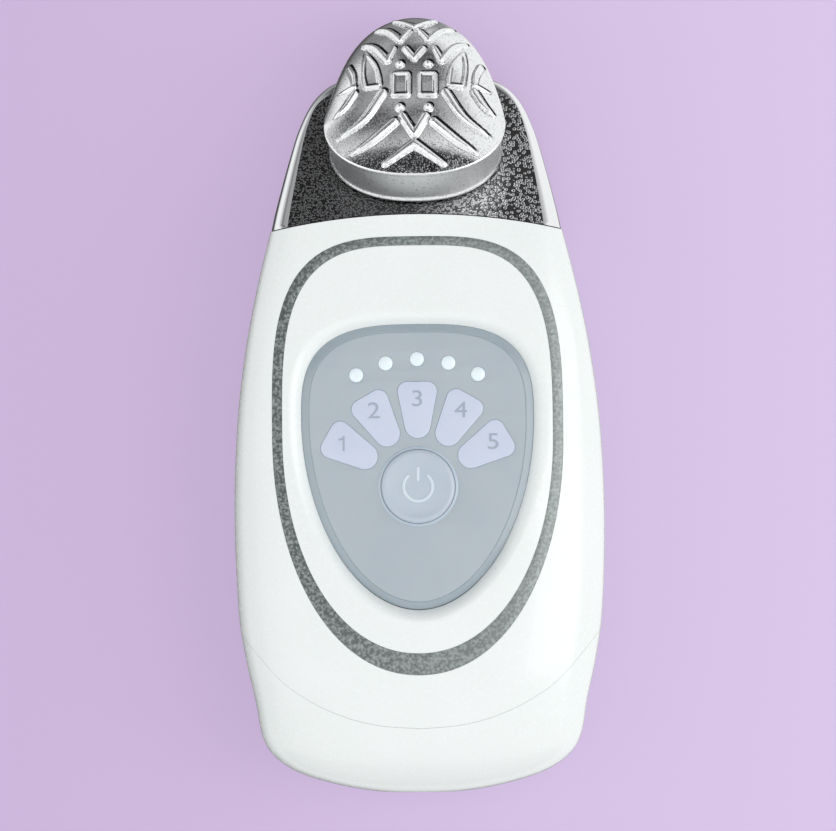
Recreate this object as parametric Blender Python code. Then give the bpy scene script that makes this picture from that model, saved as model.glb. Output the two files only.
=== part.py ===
"""Handheld galvanic facial massager, lying on its back.

The frame is in metres: X runs across the handset, +Y towards the conductor head, +Z out of
the keypad. The origin is the middle of the bounding box's footprint, on the resting surface.
Lengths are written in millimetres and multiplied by MM once, when a mesh is made.
"""

import math

import bmesh
import bpy
from mathutils import Euler, Matrix, Vector

MM = 0.001
GAP = 0.3                      # clearance between pieces that touch

# Overall form
LENGTH = 134.4
TAIL_Y = -LENGTH / 2           # blunt lower end of the handset
PARTING_Z = 14.0               # height of the split between the front and rear shells
CROWN_Z = 27.6                 # highest point of the front shell
CROWN_Y = -15.0
BACK_Z = -0.5                  # the back's untrimmed depth, trimmed flat at Z = 0
TAIL_LENGTH = CROWN_Y - TAIL_Y
WALL = 2.2
FLOOR_WALL = 3.2

# Half of the handset's plan outline, tail to shoulder: (half width, y)
BODY_OUTLINE = [
    (7.0, -67.0), (14.5, -65.6), (21.4, -63.4), (25.6, -60.5), (27.6, -57.0), (28.7, -51.0),
    (30.3, -43.7), (31.5, -35.0), (32.0, -19.0), (31.4, -4.0), (29.9, 8.5), (27.7, 19.8),
    (25.1, 30.2), (23.7, 36.0),
]

# Chrome neck that the head sits on
SEAM_Y = 32.8                  # the seam between shell and neck, on the centre line
SEAM_RADIUS = 113.0
FACET_TILT = math.radians(30.0)
FACET_Z = 24.0                 # the facet's height on the seam
NECK_OUTLINE = [
    (25.4, 27.5), (24.2, 33.5), (21.8, 42.7), (20.0, 48.3), (17.6, 52.8), (14.2, 55.7),
    (9.5, 57.0), (5.0, 57.3),
]
NECK_POWER = 12.0              # high, so that only a narrow rounded edge borders the facet
FACET_CUT = 0.28               # the facet is cut this far below the crown of the section
SPIGOT_Y = 25.0                # the collar reaches this far under the shells
SEAT_WALL = 6.2                # material under the facet, deep enough for the head's socket

# Keypad. The button is the centre of the keys and of the row of lamps.
BUTTON_Y = -14.1
BUTTON_RADIUS = 6.35
KEY_INNER = 8.3
KEY_OUTER = 18.2
KEY_INNER_WIDTH = 4.5
KEY_OUTER_WIDTH = 6.8
KEY_CORNER = 1.7
KEY_ANGLES = [60.0, 30.0, 0.0, -30.0, -60.0]
LAMP_ANGLES = [28.6, 14.3, 0.0, -14.3, -28.6]
LAMP_ARC = 21.9
LAMP_RADIUS = 1.27
PANEL_TOP = 25.6
PANEL_BOTTOM = 24.0
KEY_TOP = 26.1
KEY_BOTTOM = 23.1
PANEL = dict(y=-2.5, half=20.0, up=16.3, down=32.8, power_up=3.0, power_down=1.95)
RING_OUTER = dict(y=-5.2, half=25.0, up=34.1, down=41.3, power_up=3.36, power_down=2.1)
RING_INNER = dict(y=-5.2, half=23.3, up=32.6, down=37.6, power_up=3.36, power_down=2.1)
RING_DEPTH = 1.1

# Conductor head, in the facet's own frame: local Y up the slope, local Z off the facet
HEAD_CENTRE = 18.46            # distance up the facet from the seam
HEAD = dict(y=-5.66, half=15.65, up=22.6, down=10.4, power_up=2.0, power_down=2.2)
HEAD_WALL = 9.0
DOME_RISE = 3.3
ROLL_DROP = 2.4                # the wall is this much lower where the dome rolls over into it
FOOT_SLIM = 0.94               # the head's foot is narrower than its rim
CAP_BOTTOM = 0.4
CAP_WALL = 1.3
BASE_BOTTOM = 1.2
BASE_TOP = 3.4
POST_RADIUS = 4.0
POST_DEPTH = 4.0
SOCKET_DEPTH = 5.0

# Battery bay, two AAA cells
CELL_RADIUS = 5.25
CELL_LENGTH = 43.3
CELL_NUB = 1.0
CELL_X = 5.6
CELL_Z = 9.2
CELL_START = -52.0
CONTACT_THICK = 0.5
TRAY_HALF = 12.8
TRAY_WALL = 1.2
TRAY_LOW = 5.6
TRAY_HIGH = 16.2
TRAY_START = -56.5
COVER_Y = -38.0                # the cover's edge on the rear
TONGUE_HALF = 14.0
TONGUE_Y = -6.0

# Circuit board
BOARD_TOP = 19.6
BOARD_THICK = 1.6
SCREWS = [(-18.0, 19.0), (18.0, 19.0), (-21.0, -31.0), (21.0, -31.0)]

RING_STEPS = 40
SECTION_STEPS = 20
HOLLOW_STEPS = 12


# ---------------------------------------------------------------- scene and mesh helpers

def clear_scene():
    for item in list(bpy.data.objects):
        bpy.data.objects.remove(item, do_unlink=True)


def make_material(name, colour, roughness, metallic=0.0):
    material = bpy.data.materials.new(name)
    material.use_nodes = True
    shader = material.node_tree.nodes["Principled BSDF"]
    shader.inputs["Base Color"].default_value = (*colour, 1.0)
    shader.inputs["Roughness"].default_value = roughness
    shader.inputs["Metallic"].default_value = metallic
    return material


def add_mesh(name, vertices, faces, material, location=(0, 0, 0), tilt=0.0, sharp=35.0):
    """Makes one object from millimetre vertices that are relative to its own origin."""
    mesh = bpy.data.meshes.new(name)
    mesh.from_pydata([Vector(v) * MM for v in vertices], [], faces)
    work = bmesh.new()
    work.from_mesh(mesh)
    bmesh.ops.recalc_face_normals(work, faces=work.faces)
    work.to_mesh(mesh)
    work.free()
    mesh.shade_smooth()
    mesh.set_sharp_from_angle(angle=math.radians(sharp))
    mesh.materials.append(material)
    item = bpy.data.objects.new(name, mesh)
    item.location = Vector(location) * MM
    item.rotation_euler = Euler((-tilt, 0.0, 0.0))
    bpy.context.scene.collection.objects.link(item)
    return item


def ring_solid(name, rings, material, **placing):
    """Skins closed rings of equal length and caps both ends."""
    count = len(rings[0])
    vertices = [point for ring in rings for point in ring]
    faces = []
    for level in range(len(rings) - 1):
        low = level * count
        for i in range(count):
            j = (i + 1) % count
            faces.append((low + i, low + j, low + count + j, low + count + i))
    faces.append(tuple(range(count)))
    faces.append(tuple(range(len(vertices) - count, len(vertices))))
    return add_mesh(name, vertices, faces, material, **placing)


def boolean(target, cutter, operation="DIFFERENCE"):
    modifier = target.modifiers.new(operation.title() + " " + cutter.name, "BOOLEAN")
    modifier.operation = operation
    modifier.object = cutter
    cutter.hide_render = True
    cutter.display_type = "WIRE"


def at_height(outline, z):
    return [(x, y, z) for x, y in outline]


def prism(name, outline, low, high, material, **placing):
    return ring_solid(name, [at_height(outline, low), at_height(outline, high)], material, **placing)


def circle(radius, x=0.0, y=0.0, steps=24):
    turns = [2 * math.pi * i / steps for i in range(steps)]
    return [(x + radius * math.cos(t), y + radius * math.sin(t)) for t in turns]


def rectangle(x0, y0, x1, y1):
    return [(x0, y0), (x1, y0), (x1, y1), (x0, y1)]


def rounded_rectangle(x0, y0, x1, y1, radius, steps=5):
    corners = [(x1 - radius, y1 - radius), (x0 + radius, y1 - radius),
               (x0 + radius, y0 + radius), (x1 - radius, y0 + radius)]
    outline = []
    for quarter, (cx, cy) in enumerate(corners):
        for step in range(steps + 1):
            angle = math.pi / 2 * (quarter + step / steps)
            outline.append((cx + radius * math.cos(angle), cy + radius * math.sin(angle)))
    return outline


def turned(name, profile, material, steps=24, **placing):
    """A round piece about its local Z axis from (radius, height) pairs."""
    rings = [at_height(circle(radius, steps=steps), height) for radius, height in profile]
    return ring_solid(name, rings, material, **placing)


def join_cutters(name, pieces):
    """Puts separate cutter bodies into one object, so that one Boolean applies them all."""
    combined = bmesh.new()
    for piece in pieces:
        matrix = Matrix.LocRotScale(piece.location, piece.rotation_euler, None)
        start = len(combined.verts)
        combined.from_mesh(piece.data)
        combined.verts.ensure_lookup_table()
        bmesh.ops.transform(combined, matrix=matrix, verts=combined.verts[start:])
        bpy.data.objects.remove(piece, do_unlink=True)
    mesh = bpy.data.meshes.new(name)
    combined.to_mesh(mesh)
    combined.free()
    item = bpy.data.objects.new(name, mesh)
    item.hide_render = True
    item.display_type = "WIRE"
    bpy.context.scene.collection.objects.link(item)
    return item


def tube(name, route, radius, material):
    """A wire as a bevelled curve through a smooth run of points."""
    curve = bpy.data.curves.new(name, "CURVE")
    curve.dimensions = "3D"
    curve.bevel_depth = radius * MM
    curve.bevel_resolution = 1
    curve.use_fill_caps = True
    points = smooth_curve(route, 4)
    spline = curve.splines.new("POLY")
    spline.points.add(len(points) - 1)
    for point, place in zip(spline.points, points):
        point.co = (*(Vector(place) * MM), 1.0)
    curve.materials.append(material)
    item = bpy.data.objects.new(name, curve)
    bpy.context.scene.collection.objects.link(item)
    return item


# ---------------------------------------------------------------- curves and outlines

def smooth_curve(points, steps):
    """Catmull-Rom curve through the points, with steps samples for each span."""
    spots = [Vector(p) for p in points]
    spots = [spots[0] * 2 - spots[1]] + spots + [spots[-1] * 2 - spots[-2]]
    samples = []
    for i in range(1, len(spots) - 2):
        before, start, end, after = spots[i - 1:i + 3]
        for step in range(steps):
            t = step / steps
            samples.append(0.5 * (2 * start + (end - before) * t
                                  + (2 * before - 5 * start + 4 * end - after) * t * t
                                  + (3 * start - before - 3 * end + after) * t ** 3))
    samples.append(spots[-2])
    return [tuple(sample) for sample in samples]


def egg(form, grow=0.0, steps=RING_STEPS):
    """An egg outline: a superellipse with its own height and power above and below."""
    outline = []
    for i in range(steps):
        angle = 2 * math.pi * i / steps
        above = math.sin(angle) >= 0
        power = form["power_up"] if above else form["power_down"]
        reach = (form["up"] if above else form["down"]) + grow
        across = math.copysign(abs(math.cos(angle)) ** (2 / power), math.cos(angle))
        along = math.copysign(abs(math.sin(angle)) ** (2 / power), math.sin(angle))
        outline.append((across * (form["half"] + grow), form["y"] + along * reach))
    return outline


def seam_line(shift, half=42.0, steps=16):
    """The shell-to-neck seam as points from -X to +X, an arc that bulges to the head."""
    centre = SEAM_Y - SEAM_RADIUS
    line = []
    for i in range(steps + 1):
        x = -half + 2 * half * i / steps
        line.append((x, centre + shift + math.sqrt(SEAM_RADIUS ** 2 - x * x)))
    return line


def cover_line(shift, steps=6):
    """The U-shaped edge of the battery cover on the front, from -X to +X."""
    right = [(0.0, -55.8), (7.0, -55.2), (13.5, -53.5), (20.0, -50.3), (25.5, -45.8), (36.0, -33.0)]
    half = smooth_curve([(x, y, 0.0) for x, y in right], 3)
    line = [(-x, y + shift) for x, y, _ in reversed(half[1:])]
    return line + [(x, y + shift) for x, y, _ in half]


def facet_height(y):
    return FACET_Z - math.tan(FACET_TILT) * (y - SEAM_Y)


def tail_fall(y):
    """From 1 at the crown to 0 at the tail's end."""
    reach = min(1.0, max(0.0, (CROWN_Y - y) / TAIL_LENGTH))
    return (1.0 - reach ** 4) ** 0.4545


def front_top(y):
    """The front shell's height on its centre line."""
    if y > CROWN_Y:
        return CROWN_Z - 2.4 * ((y - CROWN_Y) / (SEAM_Y - CROWN_Y)) ** 2
    return PARTING_Z + (CROWN_Z - PARTING_Z) * tail_fall(y)


def back_bottom(y):
    """The back's height on its centre line, before it is trimmed flat."""
    if y > CROWN_Y:
        return BACK_Z + 0.0022 * max(0.0, y - 5.0) ** 2
    return PARTING_Z + (BACK_Z - PARTING_Z) * tail_fall(y)


def squareness(y):
    """The section's power: a soft oval at the tail, nearly square at the shoulder."""
    return 3.2 + 5.8 * (max(0.0, y + 25.0) / 57.0) ** 2


def half_width(y):
    points = smooth_curve([(w, s, 0.0) for w, s in BODY_OUTLINE], 4)
    for (w0, y0, _), (w1, y1, _) in zip(points, points[1:]):
        if y0 <= y <= y1:
            return w0 + (w1 - w0) * (y - y0) / (y1 - y0)
    return points[0][0]


def front_surface(x, y):
    """The front shell's height at any place on it."""
    power = squareness(y)
    share = min(0.999, abs(x) / half_width(y))
    return PARTING_Z + (front_top(y) - PARTING_Z) * (1 - share ** power) ** (1 / power)


def arch(half, middle, top, power, y, steps=SECTION_STEPS):
    """Half of a section, from +X over to -X. A top below the middle gives the lower half."""
    points = []
    for i in range(steps + 1):
        angle = math.pi * i / steps
        across = math.copysign(abs(math.cos(angle)) ** (2 / power), math.cos(angle))
        points.append((half * across, y, middle + (top - middle) * math.sin(angle) ** (2 / power)))
    return points


def full_section(half, middle, top, bottom, power, y, steps=SECTION_STEPS):
    upper = arch(half, middle, top, power, y, steps)
    lower = arch(half, middle, bottom, power, y, steps)
    return upper + lower[-2:0:-1]


# ---------------------------------------------------------------- handset casing

def body_stations(inset):
    """(half width, y) along the body, pulled in by a wall thickness. Hollows are coarser."""
    stations = []
    for half, y, _ in smooth_curve([(w, s, 0.0) for w, s in BODY_OUTLINE], 1 if inset else 2):
        stations.append((max(1.0, half - inset), y))
    return stations


def shell_half(name, front, material):
    """A closed half of the casing's outer form, on one side of the parting plane."""
    rings = []
    edge = PARTING_Z + GAP / 2 if front else PARTING_Z - GAP / 2
    for half, y in body_stations(0.0):
        top = front_top(y) if front else back_bottom(y)
        rings.append(arch(half, edge, top, squareness(y), y))
    return ring_solid(name, rings, material)


def casing_form(name, inset, floor, material, stop=40.0):
    """The whole casing, both halves, as one closed form."""
    rings = []
    for half, y in body_stations(inset):
        if y > stop or y < TAIL_Y + 3.0 * (inset > 0):
            continue
        top = front_top(y) - inset
        bottom = back_bottom(y) + floor
        steps = HOLLOW_STEPS if inset else SECTION_STEPS
        rings.append(full_section(half, PARTING_Z, top, bottom, squareness(y), y, steps))
    return ring_solid(name, rings, material)


def trim_back(target, cutter_material):
    """Cuts the resting face flat at Z = 0."""
    below = prism(target.name + "_trim", rectangle(-60, -90, 60, 90), -8.0, 0.0, cutter_material)
    boolean(target, below)


def screw_holes(name, radius, low, high, material):
    pegs = [prism("peg", circle(radius, x, y, 12), low, high, material) for x, y in SCREWS]
    return join_cutters(name, pegs)


def front_shell(mats):
    shell = shell_half("front_shell", True, mats["shell"])
    boolean(shell, casing_form("front_hollow", WALL, FLOOR_WALL, mats["cutter"]))
    posts = [prism("post", circle(3.0, x, y, 16), PARTING_Z + GAP / 2, 24.0, mats["cutter"])
             for x, y in SCREWS]
    boolean(shell, join_cutters("screw_posts", posts), "UNION")
    boolean(shell, screw_holes("pilot_holes", 1.4, 10.0, 22.0, mats["cutter"]))
    beyond = seam_line(-GAP / 2) + [(42, 90), (-42, 90)]
    boolean(shell, prism("beyond_seam", beyond, -10, 40, mats["cutter"]))
    below = cover_line(GAP / 2) + [(36, -90), (-36, -90)]
    boolean(shell, prism("below_cover_line", below, -10, 40, mats["cutter"]))
    mouth = [at_height(egg(PANEL, GAP), 10.0), at_height(egg(PANEL, GAP), PANEL_TOP - 0.3),
             at_height(egg(PANEL, 2.1), CROWN_Z - 0.3), at_height(egg(PANEL, 2.1), 32.0)]
    boolean(shell, ring_solid("keypad_mouth", mouth, mats["cutter"]))
    boolean(shell, ring_band("ring_groove", GAP, -RING_DEPTH - GAP, 3.0, mats["cutter"]))


def rear_shell(mats):
    shell = shell_half("rear_shell", False, mats["shell"])
    boolean(shell, casing_form("rear_hollow", WALL, FLOOR_WALL, mats["cutter"]))
    beyond = seam_line(-GAP / 2) + [(42, 90), (-42, 90)]
    boolean(shell, prism("rear_beyond_seam", beyond, -10, 40, mats["cutter"]))
    bay = [(-42, -90), (42, -90), (42, COVER_Y), (TONGUE_HALF + GAP, COVER_Y),
           (TONGUE_HALF + GAP, TONGUE_Y), (-TONGUE_HALF - GAP, TONGUE_Y),
           (-TONGUE_HALF - GAP, COVER_Y), (-42, COVER_Y)]
    boolean(shell, prism("cover_bay", bay, -10, 40, mats["cutter"]))
    collars = [prism("collar", circle(3.0, x, y, 16), 1.5, PARTING_Z - GAP / 2, mats["cutter"])
               for x, y in SCREWS]
    boolean(shell, join_cutters("screw_collars", collars), "UNION")
    boolean(shell, screw_holes("clearance_holes", 1.4, -5.0, 20.0, mats["cutter"]))
    boolean(shell, screw_holes("head_counterbores", 2.5, -5.0, 4.0, mats["cutter"]))
    pocket = rounded_rectangle(-13 - GAP, -GAP, 13 + GAP, 15 + GAP, 4.0)
    boolean(shell, prism("palm_plate_pocket", pocket, -5.0, 1.5, mats["cutter"]))
    boolean(shell, prism("palm_stud_hole", circle(1.5, 0, 6.5, 12), -5.0, 8.0, mats["cutter"]))
    trim_back(shell, mats["cutter"])


def battery_cover(mats):
    """The tail cap and the tongue under the cells, which slide off together."""
    cover = casing_form("battery_cover", 0.0, 0.0, mats["shell"], stop=-4.0)
    hollow = casing_form("cover_hollow", WALL, WALL, mats["cutter"], stop=0.0)
    boolean(cover, hollow)
    above = cover_line(-GAP / 2) + [(42, 20), (-42, 20)]
    boolean(cover, prism("front_of_cover_line", above, PARTING_Z - GAP / 2, 40, mats["cutter"]))
    for side in (-1, 1):
        flank = rectangle(side * TONGUE_HALF, COVER_Y - GAP, side * 60.0, 20.0)
        boolean(cover, prism("cover_flank", flank, -10, PARTING_Z + 1.0, mats["cutter"]))
    end = rectangle(-60, TONGUE_Y - GAP, 60, 20)
    boolean(cover, prism("tongue_end", end, -10, 40, mats["cutter"]))
    trim_back(cover, mats["cutter"])


def ring_band(name, grow, low, high, material):
    """The egg-shaped inlay, or its groove, following the front shell's surface."""
    outer = egg(RING_OUTER, grow, 56)
    inner = egg(RING_INNER, -grow, 56)
    section = []
    for (xo, yo), (xi, yi) in zip(outer, inner):
        zo = front_surface(xo, yo)
        zi = front_surface(xi, yi)
        section.append([(xo, yo, zo + low), (xo, yo, zo + high),
                        (xi, yi, zi + high), (xi, yi, zi + low)])
    vertices = [point for corner in section for point in corner]
    faces = []
    for i in range(len(section)):
        here = 4 * i
        there = 4 * ((i + 1) % len(section))
        for k in range(4):
            n = (k + 1) % 4
            faces.append((here + k, there + k, there + n, here + n))
    return add_mesh(name, vertices, faces, material)


def neck_stations(inset, start=None):
    stations = []
    for half, y, _ in smooth_curve([(w, s, 0.0) for w, s in NECK_OUTLINE], 2):
        if start is None or y >= start:
            stations.append((half - inset, y))
    return stations


def neck_section(half, y, inset, roof):
    """A section of the neck: flat under the facet, rounded at the sides and the nose."""
    nose = min(1.0, max(0.0, (y - 50.0) / 9.0))
    round_off = (1.0 - nose ** 2.5) ** 0.5
    top = min(facet_height(y) + FACET_CUT, FACET_Z + 1.0) - roof
    bottom = back_bottom(y) + 0.4 + inset
    middle = min(PARTING_Z, 0.5 * top + 0.5 * bottom)
    top = middle + (top - middle) * round_off
    bottom = middle + (bottom - middle) * round_off
    return full_section(half, middle, top, bottom, NECK_POWER, y)


def facet_frame(up_slope, off_facet):
    """A world point from the facet's own coordinates, on the centre line."""
    y = SEAM_Y + math.cos(FACET_TILT) * up_slope + math.sin(FACET_TILT) * off_facet
    z = FACET_Z - math.sin(FACET_TILT) * up_slope + math.cos(FACET_TILT) * off_facet
    return (0.0, y, z)


def head_seat_housing(mats):
    """The chrome neck: a flat facet, a socket for the head, and a collar inside the shells."""
    rings = [neck_section(half, y, 0.0, 0.0) for half, y in neck_stations(0.0)]
    neck = ring_solid("head_seat_housing", rings, mats["chrome"])
    behind = seam_line(GAP / 2) + [(42, 0), (-42, 0)]
    boolean(neck, prism("behind_seam", behind, -10, 40, mats["cutter"]))
    collar = []
    for half, y in [(half_width(SPIGOT_Y) - 3.0, SPIGOT_Y), (half_width(30.0) - 3.0, 30.0),
                    (half_width(34.0) - 3.0, 34.0)]:
        collar.append(full_section(half, PARTING_Z, 22.0, back_bottom(y) + FLOOR_WALL + 0.8, 6.0, y,
                                   HOLLOW_STEPS))
    boolean(neck, ring_solid("collar", collar, mats["cutter"]), "UNION")
    hollow = []
    for half, y, floor in [(21.0, 20.0, 5.8), (20.6, 30.0, 5.8), (18.0, 40.0, 2.6), (14.5, 46.0, 2.6)]:
        top = min(20.2, facet_height(y) - SEAT_WALL / math.cos(FACET_TILT))
        bottom = back_bottom(y) + floor
        hollow.append(full_section(half, (top + bottom) / 2, top, bottom, 6.0, y, HOLLOW_STEPS))
    boolean(neck, ring_solid("neck_hollow", hollow, mats["cutter"]))
    facet = prism("above_facet", rectangle(-60, -40, 60, 60), 0.0, 30.0, mats["cutter"],
                  location=facet_frame(0, 0), tilt=FACET_TILT)
    boolean(neck, facet)
    seat = facet_frame(HEAD_CENTRE, 0)
    socket = prism("head_socket", circle(POST_RADIUS + GAP), -SOCKET_DEPTH, 5.0, mats["cutter"],
                   location=seat, tilt=FACET_TILT)
    boolean(neck, socket)
    bore = prism("pin_bore", circle(1.5, steps=12), -12.0, 0.0, mats["cutter"],
                 location=seat, tilt=FACET_TILT)
    boolean(neck, bore)


def palm_contact_plate(mats):
    plate = prism("palm_contact_plate", rounded_rectangle(-13, 0, 13, 15, 4.0), 0.2, 1.2,
                  mats["chrome"])
    stud = prism("palm_stud", circle(1.2, 0, 6.5, 12), 0.6, 6.5, mats["cutter"])
    boolean(plate, stud, "UNION")


# ---------------------------------------------------------------- keypad

def key_outline(angle, grow=0.0):
    """A wedge with rounded corners and a round inner end, along a ray from the button."""
    lean = math.atan((KEY_OUTER_WIDTH - KEY_INNER_WIDTH) / 2 / (KEY_OUTER - KEY_INNER))
    corner = KEY_CORNER + grow
    corner_x = KEY_OUTER_WIDTH / 2 - KEY_CORNER
    corner_y = KEY_OUTER - KEY_CORNER - 0.15
    inner = KEY_INNER_WIDTH / 2 + grow
    inner_y = KEY_INNER + KEY_INNER_WIDTH / 2
    outline = []
    for x, y, radius, start, sweep, steps in (
            (corner_x, corner_y, corner, -lean, math.pi / 2 + lean - 0.08, 4),
            (-corner_x, corner_y, corner, math.pi / 2 + 0.08, math.pi / 2 + lean - 0.08, 4),
            (0.0, inner_y, inner, math.pi + lean, math.pi - 2 * lean, 7)):
        for i in range(steps + 1):
            turn = start + sweep * i / steps
            outline.append((x + radius * math.cos(turn), y + radius * math.sin(turn)))
    ray = math.radians(angle)
    return [(x * math.cos(ray) - y * math.sin(ray), x * math.sin(ray) + y * math.cos(ray))
            for x, y in outline]


def on_arc(radius, angle):
    ray = math.radians(angle)
    return (-radius * math.sin(ray), BUTTON_Y + radius * math.cos(ray))


def keypad_panel(mats):
    panel = prism("keypad_panel", egg(PANEL), PANEL_BOTTOM, PANEL_TOP, mats["panel"])
    holes = [prism("hole", circle(BUTTON_RADIUS + GAP, 0, BUTTON_Y, 32), 10, 40, mats["cutter"])]
    for angle in KEY_ANGLES:
        outline = [(x, y + BUTTON_Y) for x, y in key_outline(angle, GAP)]
        holes.append(prism("hole", outline, 10, 40, mats["cutter"]))
    for angle in LAMP_ANGLES:
        x, y = on_arc(LAMP_ARC, angle)
        holes.append(prism("hole", circle(LAMP_RADIUS + GAP, x, y, 16), 10, 40, mats["cutter"]))
    boolean(panel, join_cutters("panel_holes", holes))


def keys(mats):
    for number, angle in enumerate(KEY_ANGLES, start=1):
        outline = key_outline(angle)
        rings = [at_height(outline, KEY_BOTTOM - KEY_TOP), at_height(outline, -0.35),
                 at_height(key_outline(angle, -0.35), 0.0)]
        ring_solid("key_" + str(number), rings, mats["key"], location=(0, BUTTON_Y, KEY_TOP))


def power_button(mats):
    radius = BUTTON_RADIUS
    profile = [(3.0, -3.7), (3.0, -3.2), (radius, -3.2), (radius, -0.5), (radius - 0.4, -0.1),
               (radius - 1.0, 0.0), (2.0, 0.15)]
    turned("power_button", profile, mats["panel_light"], 32, location=(0, BUTTON_Y, 26.3))


def lamps(mats):
    for number, angle in enumerate(LAMP_ANGLES, start=1):
        x, y = on_arc(LAMP_ARC, angle)
        profile = [(LAMP_RADIUS, PANEL_BOTTOM - 0.6), (LAMP_RADIUS, PANEL_TOP - 0.1),
                   (LAMP_RADIUS * 0.6, PANEL_TOP + 0.15)]
        turned("led_lens_" + str(number), profile, mats["lens"], 16, location=(x, y, 0))
        chip = rectangle(x - 1.0, y - 0.8, x + 1.0, y + 0.8)
        prism("led_chip_" + str(number), chip, BOARD_TOP + GAP, BOARD_TOP + 1.3, mats["lens"])


# ---------------------------------------------------------------- conductor head

def head_outline(scale=1.0, grow=0.0):
    """The head's plan, slimmed a little on the way to its narrow end."""
    outline = []
    for x, y in egg(HEAD, grow):
        rise = max(0.0, (y - HEAD["y"]) / HEAD["up"])
        slim = 1.0 - 0.045 * math.sin(math.pi * min(1.0, rise))
        outline.append((x * slim * scale, y * scale))
    return outline


def foot_outline(grow=0.0):
    return [(x * FOOT_SLIM, y) for x, y in head_outline(1.0, grow)]


def dome_ring(scale):
    """A ring of the dome: crisp at the near rim, rolling over into the wall at the far end."""
    ring = []
    for (x, y), (_, rim_y) in zip(head_outline(scale), head_outline()):
        share = min(1.0, max(0.0, (rim_y + 9.0) / 12.0))
        soft = share * share * (3 - 2 * share)
        edge = HEAD_WALL - ROLL_DROP * soft
        crisp = 1 - scale ** 2
        rolled = (1 - scale ** 2.6) ** 0.6
        rise = HEAD_WALL + DOME_RISE - edge
        ring.append((x, y, edge + rise * (crisp + (rolled - crisp) * soft)))
    return ring


def conductor_cap(mats):
    """A thin domed shell, open underneath."""
    rings = []
    for scale in [0.1, 0.45, 0.75, 0.97]:
        height = HEAD_WALL + DOME_RISE * (1 - scale ** 2) - CAP_WALL
        rings.append(at_height(head_outline(scale, -CAP_WALL), height))
    rings.append(at_height(head_outline(1.0, -CAP_WALL), HEAD_WALL - CAP_WALL - 0.6))
    rings.append(at_height(foot_outline(-CAP_WALL), CAP_BOTTOM))
    rings.append(at_height(foot_outline(), CAP_BOTTOM))
    for scale in [1.0, 0.985, 0.95, 0.88, 0.78, 0.62, 0.42, 0.22, 0.06]:
        rings.append(dome_ring(scale))
    ring_solid("conductor_cap", rings, mats["chrome"],
               location=facet_frame(HEAD_CENTRE, 0), tilt=FACET_TILT)


def conductor_base(mats):
    """The plate that closes the cap, with the post that plugs into the neck."""
    seat = facet_frame(HEAD_CENTRE, 0)
    outline = foot_outline(-CAP_WALL - GAP)
    plate = prism("conductor_base", outline, BASE_BOTTOM, BASE_TOP, mats["dark"],
                  location=seat, tilt=FACET_TILT)
    post = prism("post", circle(POST_RADIUS), -POST_DEPTH, 2.0, mats["cutter"],
                 location=seat, tilt=FACET_TILT)
    boolean(plate, post, "UNION")


def seat_gasket(mats):
    """A thin soft ring between the facet and the head, on the part of the plan they share."""
    seat = facet_frame(HEAD_CENTRE, 0)
    outer = [(x * 0.82, min(8.2, y * 0.84)) for x, y in head_outline()]
    gasket = prism("seat_gasket", outer, GAP, 0.9, mats["rubber"], location=seat, tilt=FACET_TILT)
    hole = prism("gasket_hole", circle(POST_RADIUS + GAP), -1, 3, mats["cutter"],
                 location=seat, tilt=FACET_TILT)
    boolean(gasket, hole)


def contact_pin(mats):
    profile = [(1.1, -9.0), (1.1, -POST_DEPTH - 1.0), (0.6, -POST_DEPTH - 0.4)]
    turned("contact_pin", profile, mats["gold"], 12,
           location=facet_frame(HEAD_CENTRE, 0), tilt=FACET_TILT)


# ---------------------------------------------------------------- inside the handset

def board_outline(grow=0.0):
    form = dict(y=-6.0, half=17.5, up=25.0, down=31.0, power_up=2.6, power_down=2.6)
    return egg(form, grow, 32)


def circuit_board(mats):
    prism("circuit_board", board_outline(), BOARD_TOP - BOARD_THICK, BOARD_TOP, mats["board"])
    for number, angle in enumerate(KEY_ANGLES, start=1):
        x, y = on_arc(14.5, angle)
        tact_switch("switch_" + str(number), x, y, 22.3, mats)
    tact_switch("switch_power", 0.0, BUTTON_Y, 21.2, mats)
    low = BOARD_TOP - BOARD_THICK - GAP
    prism("controller_chip", rectangle(-4, 4, 4, 12), low - 1.4, low, mats["dark"])
    turned("buzzer", [(4.5, low - 3.2), (4.5, low)], mats["dark"], 20, location=(9.5, 0, 0))
    turned("boost_coil", [(3.2, low - 3.0), (3.2, low - 2.6), (2.4, low - 2.6), (2.4, low - 0.6),
                          (3.2, low - 0.6), (3.2, low)], mats["dark"], 16, location=(-9.5, 4, 0))
    turned("capacitor", [(2.4, low - 3.0), (2.4, low)], mats["metal"], 16, location=(-9.5, 12, 0))


def tact_switch(name, x, y, top, mats):
    rings = [at_height(rectangle(x - 2, y - 2, x + 2, y + 2), BOARD_TOP + GAP),
             at_height(rectangle(x - 2, y - 2, x + 2, y + 2), top - 0.5),
             at_height(rectangle(x - 0.9, y - 0.9, x + 0.9, y + 0.9), top - 0.5),
             at_height(rectangle(x - 0.9, y - 0.9, x + 0.9, y + 0.9), top)]
    ring_solid(name, rings, mats["dark"])


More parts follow.
